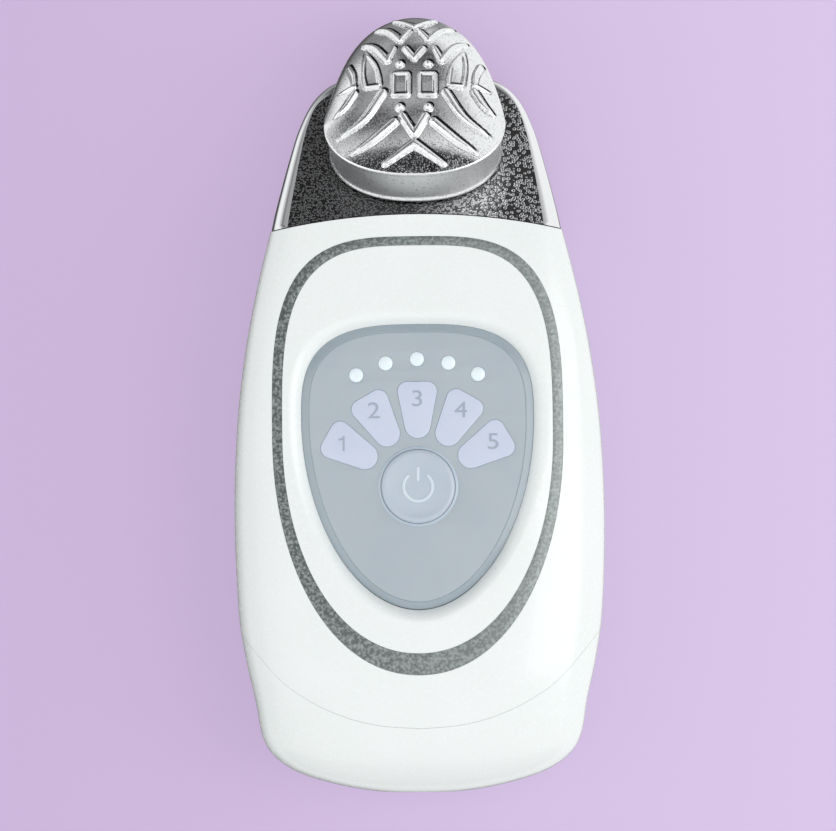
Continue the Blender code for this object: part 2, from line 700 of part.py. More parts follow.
def battery_bay(mats):
    start = CELL_START + CELL_LENGTH + CELL_NUB + GAP
    end = start + CONTACT_THICK + GAP
    outside = rectangle(-TRAY_HALF, TRAY_START, TRAY_HALF, end + TRAY_WALL)
    tray = prism("battery_tray", outside, TRAY_LOW, TRAY_HIGH, mats["dark"])
    half = TRAY_HALF - TRAY_WALL
    inside = rectangle(-half, TRAY_START + TRAY_WALL, half, end)
    boolean(tray, prism("tray_hollow", inside, 0.0, TRAY_HIGH - TRAY_WALL, mats["cutter"]))
    for side, x in (("left", -CELL_X), ("right", CELL_X)):
        profile = [(CELL_RADIUS, 0.0), (CELL_RADIUS, CELL_LENGTH), (1.9, CELL_LENGTH),
                   (1.9, CELL_LENGTH + CELL_NUB)]
        lying_cell("battery_" + side, profile, x, mats["cell"])
        contact = rectangle(x - 4, start, x + 4, start + CONTACT_THICK)
        prism("cell_contact_" + side, contact, CELL_Z - 3, CELL_Z + 3, mats["metal"])
        cell_spring("cell_spring_" + side, x, mats)


def lying_cell(name, profile, x, material):
    """A turned piece whose axis runs along +Y."""
    rings = []
    for radius, reach in profile:
        ring = [(x + a, CELL_START + reach, CELL_Z + b) for a, b in circle(radius, steps=20)]
        rings.append(ring)
    return ring_solid(name, rings, material)


def cell_spring(name, x, mats):
    """A conical coil between the cell's flat end and the tray's end wall."""
    turns = 2.5
    steps = 26
    start = CELL_START - GAP - 0.4
    length = 2.1
    route = []
    for i in range(steps + 1):
        share = i / steps
        angle = 2 * math.pi * turns * share
        radius = 1.8 + 2.2 * share
        route.append((x + radius * math.cos(angle), start - length * share,
                      CELL_Z + radius * math.sin(angle)))
    curve = bpy.data.curves.new(name, "CURVE")
    curve.dimensions = "3D"
    curve.bevel_depth = 0.25 * MM
    curve.bevel_resolution = 0
    curve.use_fill_caps = True
    spline = curve.splines.new("POLY")
    spline.points.add(len(route) - 1)
    for point, place in zip(spline.points, route):
        point.co = (*(Vector(place) * MM), 1.0)
    curve.materials.append(mats["metal"])
    item = bpy.data.objects.new(name, curve)
    bpy.context.scene.collection.objects.link(item)


def screws(mats):
    for number, (x, y) in enumerate(SCREWS, start=1):
        profile = [(1.2, 1.0), (2.2, 1.0), (2.2, 3.7), (1.1, 3.7), (1.1, 20.5), (0.5, 21.5)]
        turned("screw_" + str(number), profile, mats["metal"], 16, location=(x, y, 0))


def wires(mats):
    pin = facet_frame(HEAD_CENTRE, -9.5)
    tube("head_wire", [pin, (0.0, pin[1] - 3.5, pin[2] + 0.6), (0.0, 30.0, 11.0),
                       (0.0, 20.0, 14.0), (0.0, 15.0, 17.3)], 0.5, mats["wire"])
    tube("palm_wire", [(0.0, 6.5, 7.1), (0.0, 7.5, 9.0), (3.0, 12.0, 12.5), (6.0, 14.5, 15.5),
                       (6.0, 14.6, 17.4)], 0.5, mats["wire"])


# ---------------------------------------------------------------- the whole part

def make_materials():
    return {
        "shell": make_material("pearl_white_plastic", (0.84, 0.88, 0.86), 0.25),
        "chrome": make_material("chrome_plate", (0.62, 0.63, 0.65), 0.08, 1.0),
        "inlay": make_material("grey_satin_inlay", (0.24, 0.27, 0.26), 0.4, 0.3),
        "panel": make_material("blue_grey_panel", (0.45, 0.52, 0.6), 0.35),
        "panel_light": make_material("button_plastic", (0.5, 0.57, 0.65), 0.3),
        "key": make_material("lavender_key", (0.65, 0.68, 0.83), 0.45),
        "lens": make_material("lamp_lens", (0.8, 0.86, 0.92), 0.2),
        "dark": make_material("dark_plastic", (0.03, 0.03, 0.035), 0.5),
        "rubber": make_material("gasket_rubber", (0.05, 0.05, 0.055), 0.7),
        "board": make_material("circuit_board_green", (0.02, 0.2, 0.08), 0.45),
        "metal": make_material("plated_steel", (0.6, 0.6, 0.6), 0.3, 1.0),
        "gold": make_material("gold_contact", (0.9, 0.68, 0.25), 0.2, 1.0),
        "cell": make_material("battery_sleeve", (0.1, 0.12, 0.15), 0.35),
        "wire": make_material("wire_insulation", (0.6, 0.08, 0.06), 0.5),
        "cutter": make_material("cutter_guide", (0.9, 0.2, 0.2), 0.8),
    }


def main():
    clear_scene()
    mats = make_materials()
    front_shell(mats)
    rear_shell(mats)
    battery_cover(mats)
    head_seat_housing(mats)
    palm_contact_plate(mats)
    ring_band("inlay_ring", 0.0, -RING_DEPTH, 0.1, mats["inlay"])
    keypad_panel(mats)
    keys(mats)
    power_button(mats)
    lamps(mats)
    conductor_cap(mats)
    conductor_base(mats)
    seat_gasket(mats)
    contact_pin(mats)
    circuit_board(mats)
    battery_bay(mats)
    screws(mats)
    wires(mats)


main()
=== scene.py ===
"""The looks of a handheld facial massager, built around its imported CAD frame."""

import math

import bmesh
import bpy
import numpy as np
from mathutils import Euler, Matrix, Vector

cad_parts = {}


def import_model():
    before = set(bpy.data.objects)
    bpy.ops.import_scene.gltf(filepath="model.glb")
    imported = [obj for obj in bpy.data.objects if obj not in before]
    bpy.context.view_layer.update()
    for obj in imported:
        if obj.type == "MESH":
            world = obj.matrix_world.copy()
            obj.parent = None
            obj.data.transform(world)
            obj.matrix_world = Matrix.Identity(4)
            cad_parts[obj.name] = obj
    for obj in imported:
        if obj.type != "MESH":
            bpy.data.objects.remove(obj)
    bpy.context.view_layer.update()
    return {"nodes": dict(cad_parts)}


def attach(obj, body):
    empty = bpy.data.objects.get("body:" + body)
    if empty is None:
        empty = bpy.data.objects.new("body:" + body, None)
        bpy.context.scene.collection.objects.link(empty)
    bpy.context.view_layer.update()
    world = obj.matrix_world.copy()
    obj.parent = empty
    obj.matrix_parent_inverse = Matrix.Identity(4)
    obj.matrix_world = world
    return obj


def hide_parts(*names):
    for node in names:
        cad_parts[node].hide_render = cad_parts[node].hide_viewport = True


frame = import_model()

MM = 0.001

# ------------------------ the form, in millimetres

TAIL_Y = -67.2
TAIL_LINE = 4.0                # the two powers of the curve that the tail falls along
TAIL_NOSE = 0.4545
PARTING_Z = 14.0               # height of the split between the front and rear shells
CROWN_Z = 27.6                 # highest point of the front shell
CROWN_Y = -15.0
HEAD_END_FALL = 2.4            # the front falls this far from the crown to the seam
BACK_Z = -0.5                  # the back's untrimmed depth, trimmed flat at Z = 0
BACK_CURVE = 0.0022            # how the back rises towards the head, from BACK_CURVE_Y on
BACK_CURVE_Y = 5.0
TAIL_LENGTH = CROWN_Y - TAIL_Y
WALL = 2.2
FLOOR_WALL = 3.2
BODY_OUTLINE = [
    (1.0, -66.97), (7.0, -66.87), (14.5, -65.6), (21.4, -63.4), (25.6, -60.5), (27.6, -57.0),
    (28.7, -51.0), (30.3, -43.7), (31.5, -35.0), (32.0, -19.0), (31.4, -4.0), (29.9, 8.5),
    (27.7, 19.8), (25.1, 30.2), (23.7, 36.0),
]
NECK_OUTLINE = [
    (25.4, 27.5), (24.2, 33.5), (21.8, 42.7), (20.0, 48.3), (17.6, 52.8), (14.2, 55.7),
    (9.5, 57.0), (5.0, 57.3),
]
COVER_CURVE = [
    (0.0, -55.8), (7.0, -55.2), (13.5, -53.5), (20.0, -50.3), (25.5, -45.8), (36.0, -33.0),
]
COVER_Y = -38.0                # the cover's edge on the rear
TONGUE_HALF = 14.0
TONGUE_Y = -6.0
SEAM_Y = 32.8                  # the seam between shell and neck, on the centre line
SEAM_RADIUS = 113.0
FACET_TILT = math.radians(30.0)
FACET_Z = 24.0                 # the facet's height on the seam
FACET_CUT = 0.28               # the neck's own form stands this far above the facet that trims it
NECK_TOP = FACET_Z + 1.6       # and no higher than this, which is behind the seam
NECK_POWER = 12.0              # high, so that only a narrow rounded edge borders the facet
NOSE_Y = 50.0                  # from here to the tip the neck rounds off
NOSE_LENGTH = 9.0
SCREWS = [(-18.0, 19.0), (18.0, 19.0), (-21.0, -31.0), (21.0, -31.0)]
SCREW_BOSS = 3.0
SCREW_HOLE = 1.4
SCREW_WELL = 2.5

BUTTON_Y = -14.1
BUTTON_RADIUS = 6.35
KEY_INNER = 8.3
KEY_OUTER = 18.2
KEY_INNER_WIDTH = 4.5
KEY_OUTER_WIDTH = 6.8
KEY_CORNER = 1.7
KEY_ANGLES = [60.0, 30.0, 0.0, -30.0, -60.0]
NUMERAL_ARC = 15.0
LAMP_ANGLES = [28.6, 14.3, 0.0, -14.3, -28.6]
LAMP_ARC = 21.9
LAMP_RADIUS = 1.27
PANEL_TOP = 25.6
PANEL_BOTTOM = 24.0
KEY_BOTTOM = 23.1
KEY_FACE = 25.72
BUTTON_TOP = 26.35
BUTTON_DISH = 0.25             # how far the button's middle lies below its top
PANEL = dict(y=-2.5, half=20.0, up=16.3, down=32.8, power_up=3.0, power_down=1.95)
RING_OUTER = dict(y=-5.2, half=25.0, up=34.1, down=41.3, power_up=3.36, power_down=2.1)
RING_INNER = dict(y=-5.2, half=23.3, up=32.6, down=37.6, power_up=3.36, power_down=2.1)

HEAD_CENTRE = 18.46            # distance up the facet from the seam
HEAD = dict(y=-5.66, half=15.65, up=22.6, down=10.4, power_up=2.0, power_down=2.2)
HEAD_WALL = 9.0
DOME_RISE = 3.3
RIM_DROP = 0.12                # the wall ends this far below its nominal height
ROLL_DROP = 2.4                # and this far where the dome rolls over into it
FOOT_SLIM = 0.94               # the head's foot is narrower than its rim
CAP_BOTTOM = 0.4
CAP_WALL = 1.3
SOCKET_RADIUS = 4.3

PALM_HALF = 13.0               # the palm plate on the back, from Y = 0 to its length
PALM_LENGTH = 15.0
PALM_CORNER = 4.0

LINE = 0.08                    # half of a visible seam between two casing pieces
COVER_LINE = 0.02              # the same for the cover, which fits more tightly
CUT_LOW, CUT_HIGH = -10.0, 40.0    # a cutter from here to here goes right through
CUT_HALF = 42.0                # a cutter this wide, or this long, ends outside the handset
CUT_LENGTH = 90.0
SHARP = 30.0                   # degrees: an edge that turns further is drawn sharp
LARGE_FACE = 12.0e-6           # square metres: only flat faces are as large
SECTION_POINTS = 88
STATION_STEPS = 7
HEAD_STEPS = 520


# ------------------------ curves

def smooth_curve(points, steps):
    """Catmull-Rom curve through the points, with steps samples for each span."""
    spots = [Vector(p) for p in points]
    spots = [spots[0] * 2 - spots[1]] + spots + [spots[-1] * 2 - spots[-2]]
    samples = []
    for i in range(1, len(spots) - 2):
        before, start, end, after = spots[i - 1:i + 3]
        for step in range(steps):
            t = step / steps
            samples.append(0.5 * (2 * start + (end - before) * t
                                  + (2 * before - 5 * start + 4 * end - after) * t * t
                                  + (3 * start - before - 3 * end + after) * t ** 3))
    samples.append(spots[-2])
    return [tuple(sample) for sample in samples]


def stations(outline, steps):
    return [(half, y) for half, y, _ in smooth_curve([(w, s, 0.0) for w, s in outline], steps)]


BODY_STATIONS = stations(BODY_OUTLINE, STATION_STEPS)


def egg(form, grow=0.0, steps=160):
    """An egg outline: a superellipse with its own height and power above and below."""
    outline = []
    for i in range(steps):
        angle = 2 * math.pi * i / steps
        above = math.sin(angle) >= 0
        power = form["power_up"] if above else form["power_down"]
        reach = (form["up"] if above else form["down"]) + grow
        across = math.copysign(abs(math.cos(angle)) ** (2 / power), math.cos(angle))
        along = math.copysign(abs(math.sin(angle)) ** (2 / power), math.sin(angle))
        outline.append((across * (form["half"] + grow), form["y"] + along * reach))
    return outline


def spread(outline, count):
    """The same closed outline with its points at equal distances."""
    points = np.array(outline + outline[:1])
    length = np.concatenate([[0.0], np.cumsum(np.linalg.norm(np.diff(points, axis=0), axis=1))])
    places = np.linspace(0.0, length[-1], count, endpoint=False)
    return list(zip(np.interp(places, length, points[:, 0]),
                    np.interp(places, length, points[:, 1])))


def circle(radius, x=0.0, y=0.0, steps=64):
    turns = [2 * math.pi * i / steps for i in range(steps)]
    return [(x + radius * math.cos(t), y + radius * math.sin(t)) for t in turns]


def rectangle(x0, y0, x1, y1):
    return [(x0, y0), (x1, y0), (x1, y1), (x0, y1)]


def rounded_rectangle(x0, y0, x1, y1, radius):
    steps = 10
    corners = [(x1 - radius, y1 - radius), (x0 + radius, y1 - radius),
               (x0 + radius, y0 + radius), (x1 - radius, y0 + radius)]
    outline = []
    for quarter, (cx, cy) in enumerate(corners):
        for step in range(steps + 1):
            angle = math.pi / 2 * (quarter + step / steps)
            outline.append((cx + radius * math.cos(angle), cy + radius * math.sin(angle)))
    return outline


def seam_line(shift):
    """The seam's arc from the left to the right, moved along Y by the shift."""
    steps = 60
    centre = SEAM_Y - SEAM_RADIUS
    line = []
    for i in range(steps + 1):
        x = -CUT_HALF + 2 * CUT_HALF * i / steps
        line.append((x, centre + shift + math.sqrt(SEAM_RADIUS ** 2 - x * x)))
    return line


def cover_line(shift):
    half = smooth_curve([(x, y, 0.0) for x, y in COVER_CURVE], 10)
    line = [(-x, y + shift) for x, y, _ in reversed(half[1:])]
    return line + [(x, y + shift) for x, y, _ in half]


def tail_fall(y):
    reach = min(1.0, max(0.0, (CROWN_Y - y) / TAIL_LENGTH))
    return (1.0 - reach ** TAIL_LINE) ** TAIL_NOSE


def front_top(y):
    if y > CROWN_Y:
        return CROWN_Z - HEAD_END_FALL * ((y - CROWN_Y) / (SEAM_Y - CROWN_Y)) ** 2
    return PARTING_Z + (CROWN_Z - PARTING_Z) * tail_fall(y)


def back_bottom(y):
    if y > CROWN_Y:
        return BACK_Z + BACK_CURVE * max(0.0, y - BACK_CURVE_Y) ** 2
    return PARTING_Z + (BACK_Z - PARTING_Z) * tail_fall(y)


def squareness(y):
    """The power of the section's superellipse, which grows towards the head."""
    return 3.2 + 5.8 * (max(0.0, y + 25.0) / 57.0) ** 2


def half_width(y):
    widths = [half for half, _ in BODY_STATIONS]
    places = [place for _, place in BODY_STATIONS]
    return float(np.interp(y, places, widths))


def front_surface(x, y):
    power = squareness(y)
    share = min(0.999, abs(x) / half_width(y))
    return PARTING_Z + (front_top(y) - PARTING_Z) * (1 - share ** power) ** (1 / power)


def facet_height(y):
    return FACET_Z - math.tan(FACET_TILT) * (y - SEAM_Y)


def on_facet(up_slope):
    """The point this far up the facet from the seam, on the centre line."""
    return (0.0, SEAM_Y + math.cos(FACET_TILT) * up_slope,
            FACET_Z - math.sin(FACET_TILT) * up_slope)


def arch(half, middle, top, power, y, count=SECTION_POINTS):
    """Half of a section, from +X over to -X, with its points closer where it turns."""
    angles = np.linspace(0.0, math.pi, 361)
    across, up = np.cos(angles), np.sin(angles)
    reach = (np.abs(across) ** power + np.abs(up) ** power) ** (-1 / power)
    x, z = half * across * reach, middle + (top - middle) * up * reach
    step = np.hypot(np.diff(x), np.diff(z))
    heading = np.unwrap(np.arctan2(np.diff(z), np.diff(x)))
    turn = np.abs(np.diff(heading, prepend=heading[0]))
    measure = np.concatenate([[0.0], np.cumsum(step / step.sum() + turn / turn.sum())])
    places = np.linspace(0.0, measure[-1], count)
    xs, zs = np.interp(places, measure, x), np.interp(places, measure, z)
    return [(float(a), y, float(b)) for a, b in zip(xs, zs)]


def full_section(half, middle, top, bottom, power, y, count=SECTION_POINTS):
    upper = arch(half, middle, top, power, y, count)
    lower = arch(half, middle, bottom, power, y, count)
    return upper + lower[-2:0:-1]


# ------------------------ meshes

def place_object(name, data):
    item = bpy.data.objects.new(name, data)
    bpy.context.scene.collection.objects.link(item)
    return item


def mesh_object(name, vertices, faces, sharp=SHARP, location=(0, 0, 0), tilt=0.0):
    """An object from millimetre vertices, with its place baked into its mesh."""
    mesh = bpy.data.meshes.new(name)
    place = Matrix.LocRotScale(Vector(location) * MM, Euler((-tilt, 0.0, 0.0)), None)
    mesh.from_pydata([place @ (Vector(v) * MM) for v in vertices], [], faces)
    work = bmesh.new()
    work.from_mesh(mesh)
    bmesh.ops.recalc_face_normals(work, faces=work.faces)
    work.to_mesh(mesh)
    work.free()
    mesh.shade_smooth()
    mesh.set_sharp_from_angle(angle=math.radians(sharp))
    return place_object(name, mesh)


def at_height(outline, z):
    return [(x, y, z) for x, y in outline]


def skin(name, rings, closed=False, **placing):
    """Skins equal rings. closed joins the last ring to the first, or else both ends are capped."""
    count = len(rings[0])
    vertices = [point for ring in rings for point in ring]
    faces = []
    for level in range(len(rings) if closed else len(rings) - 1):
        low = level * count
        high = ((level + 1) % len(rings)) * count
        for i in range(count):
            j = (i + 1) % count
            faces.append((low + i, low + j, high + j, high + i))
    if not closed:
        faces.append(tuple(range(count)))
        faces.append(tuple(range(len(vertices) - count, len(vertices))))
    return mesh_object(name, vertices, faces, **placing)


def prism(name, outline, low, high, **placing):
    return skin(name, [at_height(outline, low), at_height(outline, high)], **placing)


def turned(name, profile, steps=96, **placing):
    rings = [at_height(circle(radius, steps=steps), height) for radius, height in profile]
    return skin(name, rings, **placing)


def applied_mesh(item):
    """The item's form with its modifiers applied, or with its curve turned into faces."""
    depsgraph = bpy.context.evaluated_depsgraph_get()
    return bpy.data.meshes.new_from_object(item.evaluated_get(depsgraph))


def settle(item):
    """Applies the modifiers, then shades the form smooth but for its large flat faces."""
    mesh = applied_mesh(item)
    item.modifiers.clear()
    item.data = mesh
    mesh.shade_smooth()
    mesh.set_sharp_from_angle(angle=math.radians(SHARP))
    for face in mesh.polygons:
        face.use_smooth = face.area < LARGE_FACE


def carve(item, cutters, operation="DIFFERENCE"):
    """Cuts, or joins, other closed forms and removes them."""
    for cutter in cutters:
        modifier = item.modifiers.new(cutter.name, "BOOLEAN")
        modifier.operation = operation
        modifier.object = cutter
    settle(item)
    for cutter in cutters:
        bpy.data.objects.remove(cutter, do_unlink=True)


def plate(name, outlines, low, high, bevel):
    """A flat piece with rounded edges: the first outline is its rim, the others are holes."""
    curve = bpy.data.curves.new(name, "CURVE")
    curve.dimensions = "2D"
    curve.fill_mode = "BOTH"
    curve.extrude = ((high - low) / 2 - bevel) * MM
    curve.bevel_depth = bevel * MM
    curve.bevel_resolution = 3
    curve.offset = -bevel * MM
    for number, outline in enumerate(outlines):
        points = list(outline) if number == 0 else list(reversed(outline))
        spline = curve.splines.new("POLY")
        spline.points.add(len(points) - 1)
        spline.use_cyclic_u = True
        for point, (x, y) in zip(spline.points, points):
            point.co = (x * MM, y * MM, 0.0, 1.0)
    item = place_object(name, curve)
    mesh = applied_mesh(item)
    bpy.data.objects.remove(item, do_unlink=True)
    work = bmesh.new()
    work.from_mesh(mesh)
    bmesh.ops.remove_doubles(work, verts=work.verts, dist=0.002 * MM)
    bmesh.ops.recalc_face_normals(work, faces=work.faces)
    lift = Matrix.Translation((0.0, 0.0, (low + high) / 2 * MM))
    bmesh.ops.transform(work, matrix=lift, verts=work.verts)
    work.to_mesh(mesh)
    work.free()
    mesh.shade_smooth()
    mesh.set_sharp_from_angle(angle=math.radians(40.0))
    return place_object(name, mesh)


# ------------------------ materials

class Nodes:
    """Short ways to add nodes to the tree of a material or of the sky."""

    def __init__(self, tree):
        self.tree = tree

    def feed(self, socket, value):
        """Gives an input its value, which may be the output of another node."""
        if isinstance(value, bpy.types.NodeSocket):
            self.tree.links.new(value, socket)
        else:
            socket.default_value = value

    def node(self, kind, inputs=None, **settings):
        node = self.tree.nodes.new("ShaderNode" + kind)
        for key, value in settings.items():
            setattr(node, key, value)
        for key, value in (inputs or {}).items():
            self.feed(node.inputs[key], value)
        return node

    def ramp(self, value, low, high, to_low=0.0, to_high=1.0, **settings):
        node = self.node("MapRange", {"Value": value, "From Min": low, "From Max": high,
                                      "To Min": to_low, "To Max": to_high}, **settings)
        return node.outputs["Result"]

    def blend(self, factor, first, second):
        """Mixes two colours, each with or without its alpha."""
        node = self.node("Mix", data_type="RGBA")
        for key, value in (("Factor", factor), ("A", first), ("B", second)):
            socket = next(s for s in node.inputs if s.name == key and s.enabled)
            self.feed(socket, (*value[:3], 1.0) if isinstance(value, tuple) else value)
        return next(s for s in node.outputs if s.enabled)

    def math(self, operation, first, second=0.0):
        return self.node("Math", {0: first, 1: second}, operation=operation).outputs[0]


class Finish(Nodes):
    """A Principled material with short ways to add procedural detail."""

    def __init__(self, name, colour, roughness, metallic=0.0, **values):
        self.material = bpy.data.materials.new(name)
        self.material.use_nodes = True
        super().__init__(self.material.node_tree)
        self.shader = self.tree.nodes["Principled BSDF"]
        self.colour = (*colour, 1.0)
        self.shader.inputs["Base Color"].default_value = self.colour
        self.shader.inputs["Roughness"].default_value = roughness
        self.shader.inputs["Metallic"].default_value = metallic
        for key, value in values.items():
            self.shader.inputs[key.replace("_", " ")].default_value = value
        self.place = self.node("TexCoord").outputs["Object"]

    def noise(self, scale, detail=3.0):
        return self.node("TexNoise", {"Vector": self.place, "Scale": scale, "Detail": detail,
                                      "Roughness": 0.55}).outputs["Fac"]

    def across(self):
        """The place from left to right, in metres."""
        return self.node("SeparateXYZ", {"Vector": self.place}).outputs["X"]

    def link(self, socket, name):
        self.tree.links.new(socket, self.shader.inputs[name])

    def set_colour(self, socket):
        self.link(socket, "Base Color")

    def bump(self, height, distance, strength):
        """Relief of this depth in millimetres."""
        node = self.node("Bump", {"Height": height, "Distance": distance * MM,
                                  "Strength": strength})
        self.link(node.outputs["Normal"], "Normal")

    def tinted(self, scale, other):
        """Drifts the colour towards another one in soft patches."""
        self.set_colour(self.blend(self.ramp(self.noise(scale), 0.3, 0.7), self.colour, other))


def beads(finish, size, share):
    """Round beads of about this size in millimetres, as a height from 0 to 1."""
    cells = finish.node("TexVoronoi", {"Vector": finish.place, "Scale": 1.0 / (size * MM),
                                       "Randomness": 1.0})
    dome = finish.ramp(cells.outputs["Distance"], 0.0, share, 1.0, 0.0)
    return finish.math("SQRT", finish.math("MAXIMUM", dome, 0.0))


def shell_finish():
    finish = Finish("pearl_white_shell", (0.84, 0.875, 0.865), 0.22, Coat_Weight=0.35,
                    Coat_Roughness=0.08, Specular_IOR_Level=0.5)
    finish.tinted(60.0, (0.87, 0.89, 0.885))
    finish.link(finish.ramp(finish.noise(900.0), 0.35, 0.65, 0.2, 0.3), "Roughness")
    finish.bump(beads(finish, 0.9, 0.32), 0.02, 0.25)
    return finish.material


def chrome_finish():
    finish = Finish("plain_chrome", (0.88, 0.885, 0.89), 0.07, 1.0)
    finish.link(finish.ramp(finish.noise(700.0), 0.3, 0.7, 0.05, 0.13), "Roughness")
    finish.bump(finish.noise(2600.0, 2.0), 0.01, 0.15)
    return finish.material


def head_chrome():
    """Plating under a mist of very fine drops, with painted shade along the ridges."""
    chrome = (0.88, 0.885, 0.89)
    finish = Finish("head_chrome", chrome, 0.12, 1.0)
    painted_shade = finish.node("Attribute", attribute_name="painted_shade").outputs["Fac"]
    specks = finish.ramp(finish.noise(2300.0, 1.0), 0.57, 0.67, 0.0, 0.22)
    # Painted shade: the colour goes dark beyond and at the foot of each ridge. The specks are
    # random dark drops.
    finish.set_colour(finish.blend(finish.math("MAXIMUM", painted_shade, specks), chrome,
                                   (0.02, 0.02, 0.021)))
    # The painted shade also takes away the edge tint of the reflection.
    finish.link(finish.ramp(painted_shade, 0.0, 0.6, 1.0, 0.0), "Specular Tint")
    finish.link(finish.ramp(finish.noise(350.0), 0.3, 0.7, 0.07, 0.17), "Roughness")
    finish.bump(beads(finish, 0.35, 0.4), 0.03, 0.3)
    return finish.material


def wall_chrome():
    finish = Finish("head_wall_chrome", (0.8, 0.805, 0.81), 0.38, 1.0)
    specks = finish.ramp(finish.noise(2300.0, 1.0), 0.62, 0.72)
    finish.set_colour(finish.blend(specks, (0.95, 0.955, 0.96), (0.6, 0.6, 0.605)))
    finish.bump(beads(finish, 0.45, 0.4), 0.06, 0.5)
    return finish.material


def beaded_chrome():
    """Chrome with fine condensation: small beads on the left, larger ones on the right. Its dark
    colour is a painted dark reflection, and the bead rims carry painted highlights.
    """
    finish = Finish("beaded_chrome", (0.06, 0.06, 0.061), 0.24, 1.0)
    # Painted light: the dark colour and the bead rims' highlights are both lighter towards the
    # right, where the stronger light falls.
    side = finish.ramp(finish.across(), -2.0 * MM, 18.0 * MM)
    dark = finish.blend(side, (0.045, 0.045, 0.046), (0.1, 0.1, 0.101))
    fine = beads(finish, 0.36, 0.5)
    coarse = beads(finish, 0.64, 0.5)
    height = finish.node("Mix", {0: side, 2: fine, 3: coarse}).outputs[0]
    finish.bump(height, 0.1, 0.9)
    # Painted highlights: the rims of the beads are coloured pale.
    edge = finish.math("MULTIPLY", finish.ramp(height, 0.05, 0.3), finish.ramp(height, 0.85, 0.5))
    pale = finish.blend(side, (0.2, 0.2, 0.203), (0.72, 0.72, 0.73))
    finish.set_colour(finish.blend(edge, dark, pale))
    return finish.material


def inlay_finish():
    finish = Finish("inlay_satin_grey_painted_shade", (0.16, 0.19, 0.185), 0.38, 0.35)
    # Painted shading: the band is darker to the left and lighter to the right, as the stronger
    # light falls from the right.
    side = finish.ramp(finish.across(), -25.0 * MM, 30.0 * MM)
    base = finish.blend(side, (0.075, 0.088, 0.088), (0.25, 0.275, 0.27))
    finish.set_colour(finish.blend(finish.ramp(finish.noise(1900.0, 3.0), 0.42, 0.62, 0.0, 0.62),
                                   base, (0.42, 0.46, 0.45)))
    finish.bump(beads(finish, 0.6, 0.4), 0.06, 0.6)
    return finish.material


def panel_finish(name, colour, other):
    finish = Finish(name, colour, 0.3, Coat_Weight=0.5, Coat_Roughness=0.12,
                    Subsurface_Weight=0.15, Subsurface_Scale=0.002)
    finish.tinted(90.0, other)
    finish.bump(finish.noise(1500.0, 3.0), 0.01, 0.3)
    return finish.material


def plain_finish(name, colour, roughness, other, metallic=0.0):
    finish = Finish(name, colour, roughness, metallic)
    finish.tinted(400.0, other)
    finish.bump(finish.noise(1600.0), 0.02, 0.3)
    return finish.material


def board_finish():
    """Green solder mask over a faint grid of copper tracks."""
    finish = Finish("board_solder_mask", (0.01, 0.12, 0.05), 0.35)
    tracks = finish.node("TexBrick", {"Vector": finish.place, "Scale": 450.0,
                                      "Mortar Size": 0.06}).outputs["Fac"]
    finish.set_colour(finish.blend(tracks, (0.01, 0.12, 0.05), (0.03, 0.25, 0.1)))
    return finish.material


def cell_finish():
    """A printed sleeve with a plain metal band at the nub end."""
    finish = Finish("cell_sleeve", (0.02, 0.03, 0.05), 0.3, 0.6)
    axes = finish.node("SeparateXYZ", {"Vector": finish.place}).outputs
    band = finish.ramp(axes["Y"], -19.2 * MM, -19.0 * MM)
    finish.set_colour(finish.blend(band, (0.02, 0.03, 0.05), (0.75, 0.5, 0.22)))
    return finish.material


def dress(item, material, body="handset", stands_for=()):
    """Gives a piece its material, the body it moves with and the CAD nodes it replaces."""
    item.data.materials.clear()
    item.data.materials.append(material)
    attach(item, body)
    if stands_for:
        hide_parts(*stands_for)


# ------------------------ casing pieces

def casing_half(name, front):
    edge = PARTING_Z + LINE if front else PARTING_Z - LINE
    rings = []
    for half, y in BODY_STATIONS:
        top = front_top(y) if front else back_bottom(y)
        rings.append(arch(half, edge, top, squareness(y), y))
    return skin(name, rings)


def casing_form(name, inset=0.0, floor=0.0, stop=CUT_HIGH, steps=STATION_STEPS,
                count=SECTION_POINTS):
    """The whole casing as one closed form, or the hollow in it when it is inset."""
    rings = []
    for half, y in stations(BODY_OUTLINE, steps):
        if y > stop or y < TAIL_Y + 3.0 * (inset > 0):
            continue
        rings.append(full_section(max(0.8, half - inset), PARTING_Z, front_top(y) - inset,
                                  back_bottom(y) + floor, squareness(y), y, count))
    return skin(name, rings)


def pegs(radius, low, high):
    return [prism("peg", circle(radius, x, y, 32), low, high) for x, y in SCREWS]


def mouth_cutter():
    """The keypad's recess: a straight well, then a soft bevel that dies into the surface."""
    steps = 10
    reach = 2.4
    low = PANEL_TOP - 0.45
    rings = [at_height(egg(PANEL, COVER_LINE), 10.0)]
    for k in range(steps + 1):
        share = k / steps
        rise = 1.0 - (1.0 - share) ** 2.2
        ring = []
        for (x, y), (xs, ys) in zip(egg(PANEL, COVER_LINE + reach * share), egg(PANEL, reach)):
            ring.append((x, y, low + (front_surface(xs, ys) + 0.03 - low) * rise))
        rings.append(ring)
    rings.append(at_height(egg(PANEL, reach + 0.6), 30.0))
    return skin("mouth", rings)


def ring_band(name, grow, low, high, crown=0.0):
    """The egg-shaped inlay, or its groove, on the front surface."""
    outer = spread(egg(RING_OUTER, grow, 720), 280)
    inner = spread(egg(RING_INNER, -grow, 720), 280)
    sections = []
    for (xo, yo), (xi, yi) in zip(outer, inner):
        section = [(xo, yo, front_surface(xo, yo) + low)]
        for k in range(7):
            share = k / 6
            x, y = xo + (xi - xo) * share, yo + (yi - yo) * share
            lift = high + crown * (1 - abs(2 * share - 1) ** 4)
            section.append((x, y, front_surface(x, y) + lift))
        section.append((xi, yi, front_surface(xi, yi) + low))
        sections.append(section)
    return skin(name, sections, closed=True)


